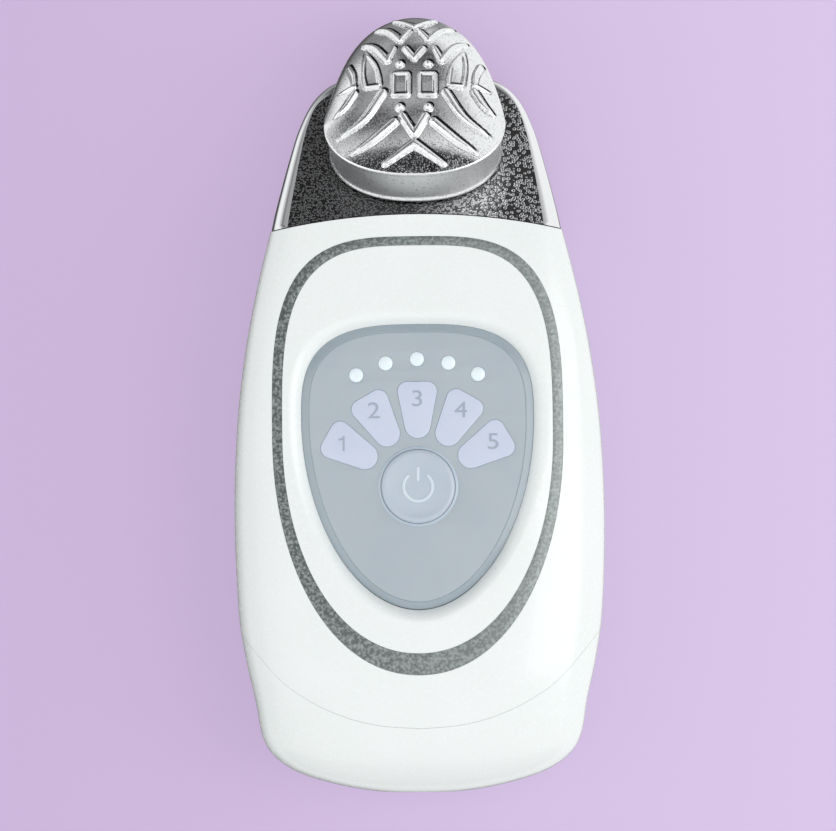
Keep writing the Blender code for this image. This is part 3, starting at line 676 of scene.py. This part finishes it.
def beyond_seam():
    corners = [(CUT_HALF, CUT_LENGTH), (-CUT_HALF, CUT_LENGTH)]
    return prism("beyond", seam_line(-LINE) + corners, CUT_LOW, CUT_HIGH)


def below_floor():
    """Trims a form flat at Z = 0."""
    outline = rectangle(-CUT_HALF, -CUT_LENGTH, CUT_HALF, CUT_LENGTH)
    return prism("floor", outline, CUT_LOW, 0.0)


def hollow(floor, **form):
    return casing_form("hollow", WALL, floor, steps=2, count=40, **form)


def front_casing(material):
    piece = casing_half("front_casing", True)
    carve(piece, [hollow(FLOOR_WALL)])
    carve(piece, pegs(SCREW_BOSS, PARTING_Z + 0.3, 24.0), "UNION")
    half = COVER_CURVE[-1][0]
    below = prism("below", cover_line(COVER_LINE) + [(half, -CUT_LENGTH), (-half, -CUT_LENGTH)],
                  CUT_LOW, CUT_HIGH)
    carve(piece, pegs(SCREW_HOLE, 10.0, 22.0) + [beyond_seam(), below])
    carve(piece, [mouth_cutter(), ring_band("groove", 0.04, -1.2, 3.0)])
    dress(piece, material, stands_for=["front_shell"])


def palm_outline(grow=0.0):
    half = PALM_HALF + grow
    return rounded_rectangle(-half, -grow, half, PALM_LENGTH + grow, PALM_CORNER + grow)


def rear_casing(material):
    piece = casing_half("rear_casing", False)
    carve(piece, [hollow(FLOOR_WALL)])
    carve(piece, pegs(SCREW_BOSS, 1.5, PARTING_Z - 0.3), "UNION")
    side = TONGUE_HALF + LINE
    bay = [(-CUT_HALF, -CUT_LENGTH), (CUT_HALF, -CUT_LENGTH), (CUT_HALF, COVER_Y),
           (side, COVER_Y), (side, TONGUE_Y), (-side, TONGUE_Y), (-side, COVER_Y),
           (-CUT_HALF, COVER_Y)]
    carve(piece, [beyond_seam(), prism("bay", bay, CUT_LOW, CUT_HIGH)]
          + pegs(SCREW_HOLE, CUT_LOW, 20.0))
    fit = 0.1
    pocket = prism("pocket", palm_outline(fit), CUT_LOW, 1.5)
    carve(piece, pegs(SCREW_WELL, CUT_LOW, 4.0) + [pocket, below_floor()])
    dress(piece, material, stands_for=["rear_shell"])


def tail_cap(material):
    piece = casing_form("tail_cap", stop=-4.0)
    carve(piece, [hollow(WALL, stop=0.0)])
    past = 20.0
    front = cover_line(-COVER_LINE) + [(CUT_HALF, past), (-CUT_HALF, past)]
    end = rectangle(-CUT_HALF, TONGUE_Y - 0.3, CUT_HALF, past)
    cutters = [prism("front", front, PARTING_Z - LINE, CUT_HIGH),
               prism("end", end, CUT_LOW, CUT_HIGH)]
    for side in (-1, 1):
        flank = rectangle(side * TONGUE_HALF, COVER_Y - 2 * LINE, side * CUT_HALF, past)
        cutters.append(prism("flank", flank, CUT_LOW, PARTING_Z + 1.0))
    carve(piece, cutters + [below_floor()])
    half, groove = 9.0, 0.45
    carve(piece, [prism("groove", rounded_rectangle(-half, y - groove, half, y + groove, 0.44),
                        -1.0, 0.55) for y in (-30.0, -27.6, -25.2, -22.8)])
    dress(piece, material, "battery_cover", ["battery_cover"])


def neck_section(half, y):
    nose = min(1.0, max(0.0, (y - NOSE_Y) / NOSE_LENGTH))
    round_off = (1.0 - nose ** 2.5) ** 0.5
    top = min(facet_height(y) + FACET_CUT, NECK_TOP)
    bottom = back_bottom(y) + 0.4
    middle = min(PARTING_Z, 0.5 * top + 0.5 * bottom)
    top = middle + (top - middle) * round_off
    bottom = middle + (bottom - middle) * round_off
    return full_section(half, middle, top, bottom, NECK_POWER, y)


def chrome_neck(smooth, beaded):
    """The neck, whose flat facet takes the beaded finish right up to the seam."""
    piece = skin("chrome_neck", [neck_section(half, y) for half, y in stations(NECK_OUTLINE, 9)])
    behind = prism("behind", seam_line(LINE) + [(CUT_HALF, 0), (-CUT_HALF, 0)], CUT_LOW, CUT_HIGH)
    above = prism("above", rectangle(-CUT_HALF, -CUT_HALF, CUT_HALF, CUT_LENGTH), 0.0, CUT_HIGH,
                  location=on_facet(0), tilt=FACET_TILT)
    carve(piece, [behind, above])
    socket = prism("socket", circle(SOCKET_RADIUS), -5.0, 5.0,
                   location=on_facet(HEAD_CENTRE), tilt=FACET_TILT)
    carve(piece, [socket])
    dress(piece, smooth, stands_for=["head_seat_housing"])
    piece.data.materials.append(beaded)
    normal = Vector((0.0, math.sin(FACET_TILT), math.cos(FACET_TILT)))
    flat = 0.9995
    for face in piece.data.polygons:
        if face.normal.dot(normal) > flat:
            face.material_index = 1


# ------------------------ keypad pieces

def key_outline(angle, grow=0.0):
    """A key's outline: two round outer corners with a slight crown between, and a round foot."""
    lean = math.atan((KEY_OUTER_WIDTH - KEY_INNER_WIDTH) / 2 / (KEY_OUTER - KEY_INNER))
    corner_x = KEY_OUTER_WIDTH / 2 - KEY_CORNER
    corner_y = KEY_OUTER - KEY_CORNER - 0.15
    inner_y = KEY_INNER + KEY_INNER_WIDTH / 2
    crown = 0.08
    sweep_out = math.pi / 2 + lean - crown
    outline = []
    for x, y, radius, start, sweep, steps in (
            (corner_x, corner_y, KEY_CORNER + grow, -lean, sweep_out, 12),
            (-corner_x, corner_y, KEY_CORNER + grow, math.pi / 2 + crown, sweep_out, 12),
            (0.0, inner_y, KEY_INNER_WIDTH / 2 + grow, math.pi + lean, math.pi - 2 * lean, 20)):
        for i in range(steps + 1):
            turn = start + sweep * i / steps
            outline.append((x + radius * math.cos(turn), y + radius * math.sin(turn)))
    ray = math.radians(angle)
    return [(x * math.cos(ray) - y * math.sin(ray),
             BUTTON_Y + x * math.sin(ray) + y * math.cos(ray)) for x, y in outline]


def on_arc(radius, angle):
    ray = math.radians(angle)
    return (-radius * math.sin(ray), BUTTON_Y + radius * math.cos(ray))


def keypad(mats):
    rim = 1.35
    fit = 0.02
    holes = [circle(BUTTON_RADIUS + fit, 0, BUTTON_Y, 96)]
    holes += [key_outline(angle, fit) for angle in KEY_ANGLES]
    holes += [circle(LAMP_RADIUS + fit, *on_arc(LAMP_ARC, angle), 40) for angle in LAMP_ANGLES]
    face = plate("keypad_face", [spread(egg(PANEL, -rim - 0.02, 720), 220)] + holes, PANEL_BOTTOM,
                 PANEL_TOP, 0.06)
    dress(face, mats["panel"], stands_for=["keypad_panel"])
    # The bevelled rim takes the darker rim finish: painted shade along the panel's edge.
    rings = []
    base = PANEL_BOTTOM - PANEL_TOP
    for grow, z in ((-rim, base), (0.0, base), (0.0, -0.5), (-0.06, -0.42), (-0.2, -0.36),
                    (-rim + 0.22, -0.05), (-rim + 0.08, -0.02), (-rim, -0.04)):
        rings.append(at_height(egg(PANEL, grow, 240), PANEL_TOP + z))
    dress(skin("keypad_rim", rings, closed=True), mats["panel_rim"])
    profile = ((0.05, -0.3), (0.05, 0.16), (0.16, 0.22), (0.3, 0.2), (0.42, 0.15), (0.54, 0.06),
               (0.6, -0.02), (0.6, -0.3))
    rings = [at_height(circle(BUTTON_RADIUS + grow, steps=96), z) for grow, z in profile]
    collar = skin("button_collar", rings, closed=True, location=(0, BUTTON_Y, PANEL_TOP))
    dress(collar, mats["button"])


# The figure 1, which the built-in font draws without its flag.
FIGURE_ONE = [(0.42, -1.32), (0.42, 1.32), (0.15, 1.32), (0.02, 1.05), (-0.25, 0.88), (-0.62, 0.83),
              (-0.62, 0.56), (0.08, 0.56), (0.08, -1.32)]


def keys(mats):
    for number, angle in enumerate(KEY_ANGLES, start=1):
        name = "key_" + str(number)
        cap = plate(name + "_cap", [key_outline(angle)], KEY_BOTTOM, KEY_FACE, 0.07)
        dress(cap, mats["key"], name, [name])
        x, y = on_arc(NUMERAL_ARC, angle)
        if number == 1:
            outline = [(x + a, y + b) for a, b in FIGURE_ONE]
            one = plate("key_1_numeral", [outline], KEY_FACE - 0.02, KEY_FACE + 0.04, 0.01)
            dress(one, mats["numeral"], name)
            continue
        text = bpy.data.curves.new(name + "_numeral", "FONT")
        text.body = str(number)
        text.align_x = "CENTER"
        text.align_y = "CENTER"
        text.size = 3.95 * MM
        text.extrude = 0.03 * MM
        item = place_object(name + "_numeral", text)
        item.matrix_world = Matrix.LocRotScale(Vector((x, y, KEY_FACE + 0.01)) * MM, None,
                                               Vector((1.2, 1.0, 1.0)))
        dress(item, mats["numeral"], name)


def power_button(mats):
    r = BUTTON_RADIUS
    profile = [(2.0, -3.5), (r, -3.5), (r, -0.4), (r - 0.1, -0.22), (r - 0.28, -0.1),
               (r - 0.5, -0.02), (r - 0.75, 0.0), (r - 1.0, -0.04), (r - 1.5, -0.13),
               (r - 2.2, -0.2), (3.0, -0.24), (1.2, -BUTTON_DISH), (0.1, -BUTTON_DISH)]
    button = turned("thumb_button", profile, location=(0, BUTTON_Y, BUTTON_TOP))
    dress(button, mats["button"], "power_button", ["power_button"])
    power_mark(mats, BUTTON_TOP - BUTTON_DISH)


def power_mark(mats, floor):
    """A plain on-off mark: an open ring and a bar, raised a little from the button."""
    middle, half = 2.5, 0.27
    gap = math.radians(38.0)
    turns = [math.pi / 2 + gap + (2 * math.pi - 2 * gap) * i / 40 for i in range(41)]
    outer, inner = [[(radius * math.cos(turn), radius * math.sin(turn) + BUTTON_Y)
                     for turn in turns] for radius in (middle + half, middle - half)]
    bar = rounded_rectangle(-half, BUTTON_Y + 0.9, half, BUTTON_Y + 3.4, half * 0.98)
    for name, outline in (("ring", outer + inner[::-1]), ("bar", bar)):
        piece = plate("power_mark_" + name, [outline], floor - 0.2, floor + 0.12, 0.08)
        dress(piece, mats["mark"], "power_button")


def lamps(mats):
    for number, angle in enumerate(LAMP_ANGLES, start=1):
        x, y = on_arc(LAMP_ARC, angle)
        r = LAMP_RADIUS
        profile = [(r * 0.5, -2.0), (r, -2.0), (r, -0.12), (r * 0.94, 0.0), (r * 0.8, 0.09),
                   (r * 0.5, 0.17), (r * 0.1, 0.2)]
        lens = turned("lamp_window_" + str(number), profile, 40, location=(x, y, PANEL_TOP))
        dress(lens, mats["lens"], stands_for=["led_lens_" + str(number)])


# ------------------------ conductor head

def head_outline(scale=1.0, grow=0.0):
    """The head's outline in its own plane, a little slimmer towards its far end."""
    outline = []
    for x, y in spread(egg(HEAD, grow, 1200), HEAD_STEPS):
        rise = max(0.0, (y - HEAD["y"]) / HEAD["up"])
        slim = 1.0 - 0.045 * math.sin(math.pi * min(1.0, rise))
        outline.append((x * slim * scale, y * scale))
    return outline


# The raised ridges of one side of the head as (points, half width, taper), in the head's plane.
# A taper of 1 thins the ridge to a point at its last point.
RIDGES = [
    ([(0.0, 5.4), (1.45, 7.5)], 0.58, 0.0),
    ([(0.0, -9.4), (2.0, -6.1)], 0.66, 0.0),
    ([(0.0, -10.9), (5.1, -14.3)], 0.72, 0.5),
    ([(3.4, -7.1), (7.2, -10.2), (10.8, -12.3)], 0.72, 0.8),
    ([(5.4, -1.4), (8.6, -6.2), (13.1, -9.4)], 0.75, 0.8),
    ([(10.4, -0.8), (12.1, -3.4), (14.0, -5.2)], 0.66, 0.9),
    ([(4.7, 5.2), (6.9, 8.3), (8.9, 9.6)], 0.7, 0.5),
    ([(4.7, 5.2), (3.5, 7.7)], 0.6, 0.3),
    ([(2.5, 9.6), (4.6, 12.1), (6.6, 12.9)], 0.66, 0.5),
    ([(2.5, 9.6), (0.9, 11.7)], 0.58, 0.3),
    ([(0.0, 12.8), (3.6, 15.0)], 0.58, 0.4),
    ([(11.4, 5.2), (10.6, 2.8), (10.4, 0.4)], 0.55, 0.5),
    ([(10.4, 0.4), (13.2, 0.0)], 0.5, 0.8),
]
# Raised plates, crisp at the low edge and sinking into the dome towards the height given last.
PLATES = [
    ([(0.5, -2.6), (4.1, -2.6), (4.1, 2.7), (0.5, 2.7)], 7.5),
    ([(5.4, -0.6), (8.8, -0.6), (9.3, 2.2), (9.35, 5.0), (8.7, 8.6), (7.0, 6.3), (5.8, 3.4)], 9.0),
]
DOTS = [(2.45, 4.25, 0.85), (2.45, -4.4, 0.85)]
RIDGE_HEIGHT = 0.85


def segment_ridge(x, y, start, end, widths):
    """How high a ridge stands at each place, from 0 to 1, for one straight stretch of it."""
    run = np.array(end) - np.array(start)
    share = ((x - start[0]) * run[0] + (y - start[1]) * run[1]) / (run @ run)
    share = np.clip(share, 0.0, 1.0)
    away = np.hypot(x - start[0] - share * run[0], y - start[1] - share * run[1])
    width = widths[0] + (widths[1] - widths[0]) * share
    return np.clip(1.0 - (away / width) ** 2, 0.0, 1.0) ** 0.6 * np.minimum(1.0, width / 0.5)


def inside(x, y, corners):
    """How deep each place is inside a convex shape with rounded corners, negative outside."""
    radius = 0.8
    reaches = []
    for (ax, ay), (bx, by) in zip(corners, corners[1:] + corners[:1]):
        length = math.hypot(bx - ax, by - ay)
        reaches.append(((bx - ax) * (y - ay) - (by - ay) * (x - ax)) / length)
    nearest = np.minimum.reduce(reaches)
    rounded = radius - np.sqrt(sum(np.maximum(radius - reach, 0.0) ** 2 for reach in reaches))
    return np.where(nearest < radius, rounded, nearest)


def relief(x, y):
    """The height of the raised pattern, in millimetres, mirrored about the head's middle."""
    x = np.abs(x)
    height = np.zeros_like(x)
    for points, half, taper in RIDGES:
        path = smooth_curve([(a, b, 0.0) for a, b in points], 5 if len(points) > 2 else 1)
        for k, (start, end) in enumerate(zip(path, path[1:])):
            widths = [1.15 * half * (1 - taper * ((k + step) / (len(path) - 1)) ** 3)
                      for step in (0, 1)]
            height = np.maximum(height, segment_ridge(x, y, start[:2], end[:2], widths))
    for corners, sink in PLATES:
        depth = inside(x, y, corners)
        bank = np.clip(depth / 0.45, 0.0, 1.0)
        edge = bank * (2 - bank) - 0.55 * np.clip((depth - 0.5) / 0.45, 0.0, 1.0)
        height = np.maximum(height, edge * np.clip((sink - y) / 6.0, 0.0, 1.0))
    for cx, cy, radius in DOTS:
        away = np.hypot(x - cx, y - cy) / radius
        height = np.maximum(height, np.clip(1.0 - away ** 2, 0.0, 1.0) ** 0.8)
    near_rim = np.clip((-9.0 - y) / 3.5, 0.0, 1.0)
    return height * RIDGE_HEIGHT * (1.0 - 0.36 * near_rim)


def water_film(rings):
    """How much painted shade each point takes: a painted shadow beyond each ridge, and a thin
    painted shade at its foot.
    """
    points = np.array([point for ring in rings for point in ring])
    x, y, on_dome = points[:, 0], points[:, 1], points[:, 2] > HEAD_WALL - ROLL_DROP
    here = relief(x, y)
    # Painted shadow: here the relief a little way off stands higher than at this point.
    beyond = np.clip((relief(x - 0.28, y - 0.42) - here - 0.1) / 0.22, 0.0, 1.0)
    step = 0.06
    slope = np.hypot(relief(x + step, y) - here, relief(x, y + step) - here) / step
    # Painted shade in the crease at each ridge's foot.
    foot = np.clip((slope - 0.5) / 0.6, 0.0, 1.0) * np.clip(1.0 - here / 0.3, 0.0, 1.0)
    return np.where(on_dome, np.maximum(beyond, 0.75 * foot), 0.0)


def roll_over():
    """For each point of the outline, 0 at the crisp near rim and 1 at the rolled far end."""
    share = np.clip((np.array(head_outline())[:, 1] + 9.0) / 12.0, 0.0, 1.0)
    return share * share * (3 - 2 * share)


def rim_height(soft):
    return HEAD_WALL - RIM_DROP - (ROLL_DROP - RIM_DROP) * soft


def dome_rings():
    """Rings from the rim to the crown, lifted where the pattern is."""
    rings = []
    outline = np.array(head_outline())
    soft = roll_over()
    edge = rim_height(soft)
    shares = [0.998, 0.992, 0.985, 0.975, 0.965] + [0.955 * (1 - k / 120) for k in range(120)]
    for share in shares:
        points = outline * share
        fade = min(1.0, (1.0 - share) / 0.06)
        crisp = 1 - share ** 2
        rolled = (1 - share ** 2.6) ** 0.6
        rise = HEAD_WALL + DOME_RISE - edge
        crisp = crisp + 0.04 * min(1.0, (1 - share) / 0.008) * (1 - crisp)
        height = edge + rise * (crisp + (rolled - crisp) * soft)
        height += relief(points[:, 0], points[:, 1]) * fade
        rings.append([(float(a), float(b), float(c)) for (a, b), c in zip(points, height)])
    return rings


def wall_ring(share, grow):
    """A ring of the head's side wall, from 0 at its foot to 1 at its rim."""
    top = rim_height(roll_over())
    slim = FOOT_SLIM + (1 - FOOT_SLIM) * share
    return [(x * slim, y, CAP_BOTTOM + (float(z) - CAP_BOTTOM) * share)
            for (x, y), z in zip(head_outline(1.0, grow), top)]


def conductor_head(mats):
    seat = on_facet(HEAD_CENTRE)
    rings = [at_height(head_outline(0.2, -CAP_WALL), HEAD_WALL + DOME_RISE - CAP_WALL),
             at_height(head_outline(0.7, -CAP_WALL), HEAD_WALL + DOME_RISE * 0.5 - CAP_WALL),
             at_height(head_outline(1.0, -CAP_WALL), HEAD_WALL - CAP_WALL - 0.6),
             at_height([(x * FOOT_SLIM, y) for x, y in head_outline(1.0, -CAP_WALL)], CAP_BOTTOM)]
    foot = ((0.0, 0.1), (0.01, 0.22), (0.03, 0.26), (0.05, 0.2), (0.075, 0.02), (0.1, -0.1),
            (0.14, -0.16), (0.5, -0.2), (0.86, -0.16), (0.93, -0.08), (0.97, 0.0), (1.0, 0.0))
    rings += [wall_ring(share, grow) for share, grow in foot]
    rings += dome_rings()
    cap = skin("ridged_head_shell", rings, location=seat, tilt=FACET_TILT, sharp=60.0)
    # Painted shade along the ridges, stored per point for the head's material.
    painted_shade = cap.data.attributes.new("painted_shade", "FLOAT", "POINT")
    painted_shade.data.foreach_set("value", water_film(rings))
    dress(cap, mats["chrome_head"], "conductor_head", ["conductor_cap"])
    cap.data.materials.append(mats["chrome_wall"])
    axis = Vector((0.0, math.sin(FACET_TILT), math.cos(FACET_TILT)))
    for face in cap.data.polygons:
        if face.normal.dot(axis) < 0.5:
            face.material_index = 1


# ------------------------ the back and the inside

def back_details(mats):
    pad = plate("palm_plate", [palm_outline()], 0.2, 1.2, 0.25)
    dress(pad, mats["chrome"], stands_for=["palm_contact_plate"])
    for number, (x, y) in enumerate(SCREWS, start=1):
        profile = [(0.6, 21.0), (1.1, 20.2), (1.1, 3.7), (2.2, 3.7), (2.25, 3.2), (2.2, 1.6),
                   (1.9, 1.15), (1.4, 1.0)]
        screw = turned("cross_screw_" + str(number), profile, 40, location=(x, y, 0))
        slots = [prism("slot", rectangle(x - a, y - b, x + a, y + b), 0.0, 2.2)
                 for a, b in ((1.25, 0.28), (0.28, 1.25))]
        carve(screw, slots)
        dress(screw, mats["steel"], stands_for=["screw_" + str(number)])


def inner_finishes(mats):
    """Better materials for the CAD nodes that stay as they are."""
    wanted = {
        "circuit_board": "board", "controller_chip": "dark", "buzzer": "dark",
        "boost_coil": "copper", "capacitor": "steel", "switch_": "dark", "led_chip": "lens",
        "battery_tray": "dark", "battery_left": "cell", "battery_right": "cell",
        "cell_": "steel", "head_wire": "wire", "palm_wire": "wire", "seat_gasket": "rubber",
        "contact_pin": "gold", "conductor_base": "dark",
    }
    for name, node in frame["nodes"].items():
        key = next((k for k in wanted if name.startswith(k)), None)
        if key:
            node.data.materials.clear()
            node.data.materials.append(mats[wanted[key]])


# ------------------------ camera, floor and light

def camera():
    """Above the handset and barely to its right, with its head to the top of the image."""
    view_height = 143.8 * MM
    picture_shape = 836 / 831
    sensor = 36.0
    distance = 1.8
    focus = Vector((-0.14 * MM, -1.9 * MM, PARTING_Z * MM))
    lean = math.radians(1.15)
    roll = math.radians(0.6)
    data = bpy.data.cameras.new("camera")
    data.sensor_width = sensor
    data.lens = sensor * distance / (view_height * picture_shape)
    data.clip_start = 0.1
    item = place_object("camera", data)
    item.rotation_euler = Euler((0.0, lean, -roll))
    item.location = focus + item.rotation_euler.to_matrix() @ Vector((0.0, 0.0, distance))
    bpy.context.scene.camera = item


def floor():
    """A plain pale floor, just under the handset, that is only there when seen from above."""
    half, low = 3.0, -0.1 * MM
    mesh = bpy.data.meshes.new("floor")
    corners = [(-half, -half, low), (half, -half, low), (half, half, low), (-half, half, low)]
    mesh.from_pydata(corners, [], [(0, 1, 2, 3)])
    item = place_object("floor", mesh)
    finish = Finish("pale_lilac_floor", (0.25, 0.2, 0.3), 0.7,
                    Emission_Color=(0.62, 0.475, 0.72, 1.0), Emission_Strength=0.617)
    side = finish.ramp(finish.across(), -70.0 * MM, 70.0 * MM)
    finish.set_colour(finish.blend(side, (0.212, 0.16, 0.25), (0.298, 0.253, 0.347)))
    see_through = finish.node("BsdfTransparent").outputs[0]
    below = finish.node("NewGeometry").outputs["Backfacing"]
    mix = finish.node("MixShader", {0: below, 1: finish.shader.outputs[0], 2: see_through})
    finish.feed(finish.tree.nodes["Material Output"].inputs["Surface"], mix.outputs[0])
    mesh.materials.append(finish.material)
    item.visible_glossy = False
    item.visible_diffuse = False


def soft_box(name, place, power):
    data = bpy.data.lights.new(name, "AREA")
    data.shape = "RECTANGLE"
    data.size, data.size_y = 0.6, 0.9
    data.energy = power
    item = place_object(name, data)
    item.location = place
    item.rotation_euler = (-Vector(place)).to_track_quat("-Z", "Y").to_euler()


def lights():
    soft_box("soft_left", (-0.75, -0.2, 0.8), 0.8)
    soft_box("soft_right", (0.75, -0.1, 0.8), 3.1)


def spot(nodes, place, squeeze, heading, outer, inner):
    """1 inside the inner angle around a heading of the sky, fading to 0 at the outer angle."""
    scaled = nodes.node("VectorMath", {0: place, 1: squeeze}, operation="MULTIPLY").outputs[0]
    unit = nodes.node("VectorMath", {0: scaled}, operation="NORMALIZE").outputs[0]
    dot = nodes.node("VectorMath", {0: unit, 1: heading}, operation="DOT_PRODUCT")
    return nodes.ramp(dot.outputs["Value"], math.cos(math.radians(outer)),
                      math.cos(math.radians(inner)), interpolation_type="SMOOTHSTEP")


# The darker zones of the sky: how each is squeezed, its heading, its outer and inner angle in
# degrees, and its colour. In turn: a narrow bar high up, the tail's side, low beyond the head,
# and underneath. A patchy zone lies beyond the head too.
SKY_BEYOND = ((1.15, 1.0, 1.0), (-0.16, 0.89, 0.42), 42.0, 20.0)
SKY_ZONES = [
    ((0.17, 1.0, 1.0), (-0.05, 0.375, 0.926), 8.2, 6.9, (0.02, 0.02, 0.022)),
    ((0.7, 1.0, 1.5), (0.0, -1.0, 0.0), 40.0, 26.0, (0.34, 0.34, 0.345)),
    ((1.1, 1.0, 0.8), (-0.25, 0.76, -0.6), 42.0, 26.0, (0.25, 0.25, 0.255)),
    ((1.0, 1.0, 1.0), (-0.45, -0.1, -0.89), 52.0, 24.0, (0.08, 0.08, 0.085)),
]


def world():
    """Even studio light with darker zones, for the chrome to mirror."""
    scene_world = bpy.data.worlds.new("studio")
    scene_world.use_nodes = True
    nodes = Nodes(scene_world.node_tree)
    place = nodes.node("TexCoord").outputs["Generated"]
    clutter = nodes.node("TexNoise", {"Vector": place, "Scale": 2.6, "Detail": 2.0})
    patches = nodes.ramp(clutter.outputs["Fac"], 0.42, 0.58, interpolation_type="SMOOTHSTEP")
    dark = nodes.blend(patches, (0.1, 0.1, 0.103), (0.42, 0.42, 0.43))
    sky = nodes.blend(spot(nodes, place, *SKY_BEYOND), (0.97, 0.985, 0.99), dark)
    for *zone, colour in SKY_ZONES:
        sky = nodes.blend(spot(nodes, place, *zone), sky, colour)
    nodes.feed(nodes.tree.nodes["Background"].inputs["Color"], sky)
    bpy.context.scene.world = scene_world


# ------------------------ everything

def make_materials():
    return {
        "shell": shell_finish(),
        "chrome": chrome_finish(),
        "chrome_head": head_chrome(),
        "chrome_wall": wall_chrome(),
        "beaded": beaded_chrome(),
        "inlay": inlay_finish(),
        "panel": panel_finish("panel_blue_grey", (0.41, 0.465, 0.515), (0.44, 0.49, 0.53)),
        # A darker copy of the panel's colour: painted shade along the panel's edge.
        "panel_rim": panel_finish("panel_rim_painted_shade", (0.33, 0.39, 0.44), (0.36, 0.42, 0.46)),
        "button": panel_finish("button_blue_grey", (0.47, 0.54, 0.62), (0.52, 0.58, 0.66)),
        "mark": panel_finish("button_mark_pale", (0.68, 0.72, 0.8), (0.72, 0.75, 0.82)),
        "key": panel_finish("key_lavender", (0.58, 0.63, 0.78), (0.61, 0.66, 0.78)),
        "numeral": plain_finish("numeral_grey", (0.36, 0.41, 0.5), 0.5, (0.38, 0.43, 0.52)),
        "lens": panel_finish("lamp_lens_pale", (0.82, 0.9, 0.97), (0.86, 0.92, 0.97)),
        "dark": plain_finish("dark_moulded", (0.02, 0.02, 0.023), 0.5, (0.03, 0.03, 0.033)),
        "rubber": plain_finish("gasket_rubber", (0.03, 0.03, 0.03), 0.75, (0.045, 0.045, 0.045)),
        "steel": plain_finish("plated_steel", (0.62, 0.62, 0.63), 0.28, (0.5, 0.5, 0.51), 1.0),
        "copper": plain_finish("coil_copper", (0.6, 0.25, 0.12), 0.4, (0.45, 0.18, 0.09), 0.8),
        "gold": plain_finish("gold_contact", (0.9, 0.66, 0.25), 0.2, (0.8, 0.56, 0.2), 1.0),
        "wire": plain_finish("wire_red", (0.5, 0.03, 0.02), 0.45, (0.42, 0.03, 0.02)),
        "board": board_finish(),
        "cell": cell_finish(),
    }


bpy.context.scene.view_settings.view_transform = "Standard"
camera()
floor()
lights()
world()
mats = make_materials()
front_casing(mats["shell"])
rear_casing(mats["shell"])
tail_cap(mats["shell"])
chrome_neck(mats["chrome"], mats["beaded"])
inlay = ring_band("inlay_band", 0.0, -1.1, 0.02, 0.08)
dress(inlay, mats["inlay"], stands_for=["inlay_ring"])
keypad(mats)
keys(mats)
power_button(mats)
lamps(mats)
conductor_head(mats)
back_details(mats)
inner_finishes(mats)
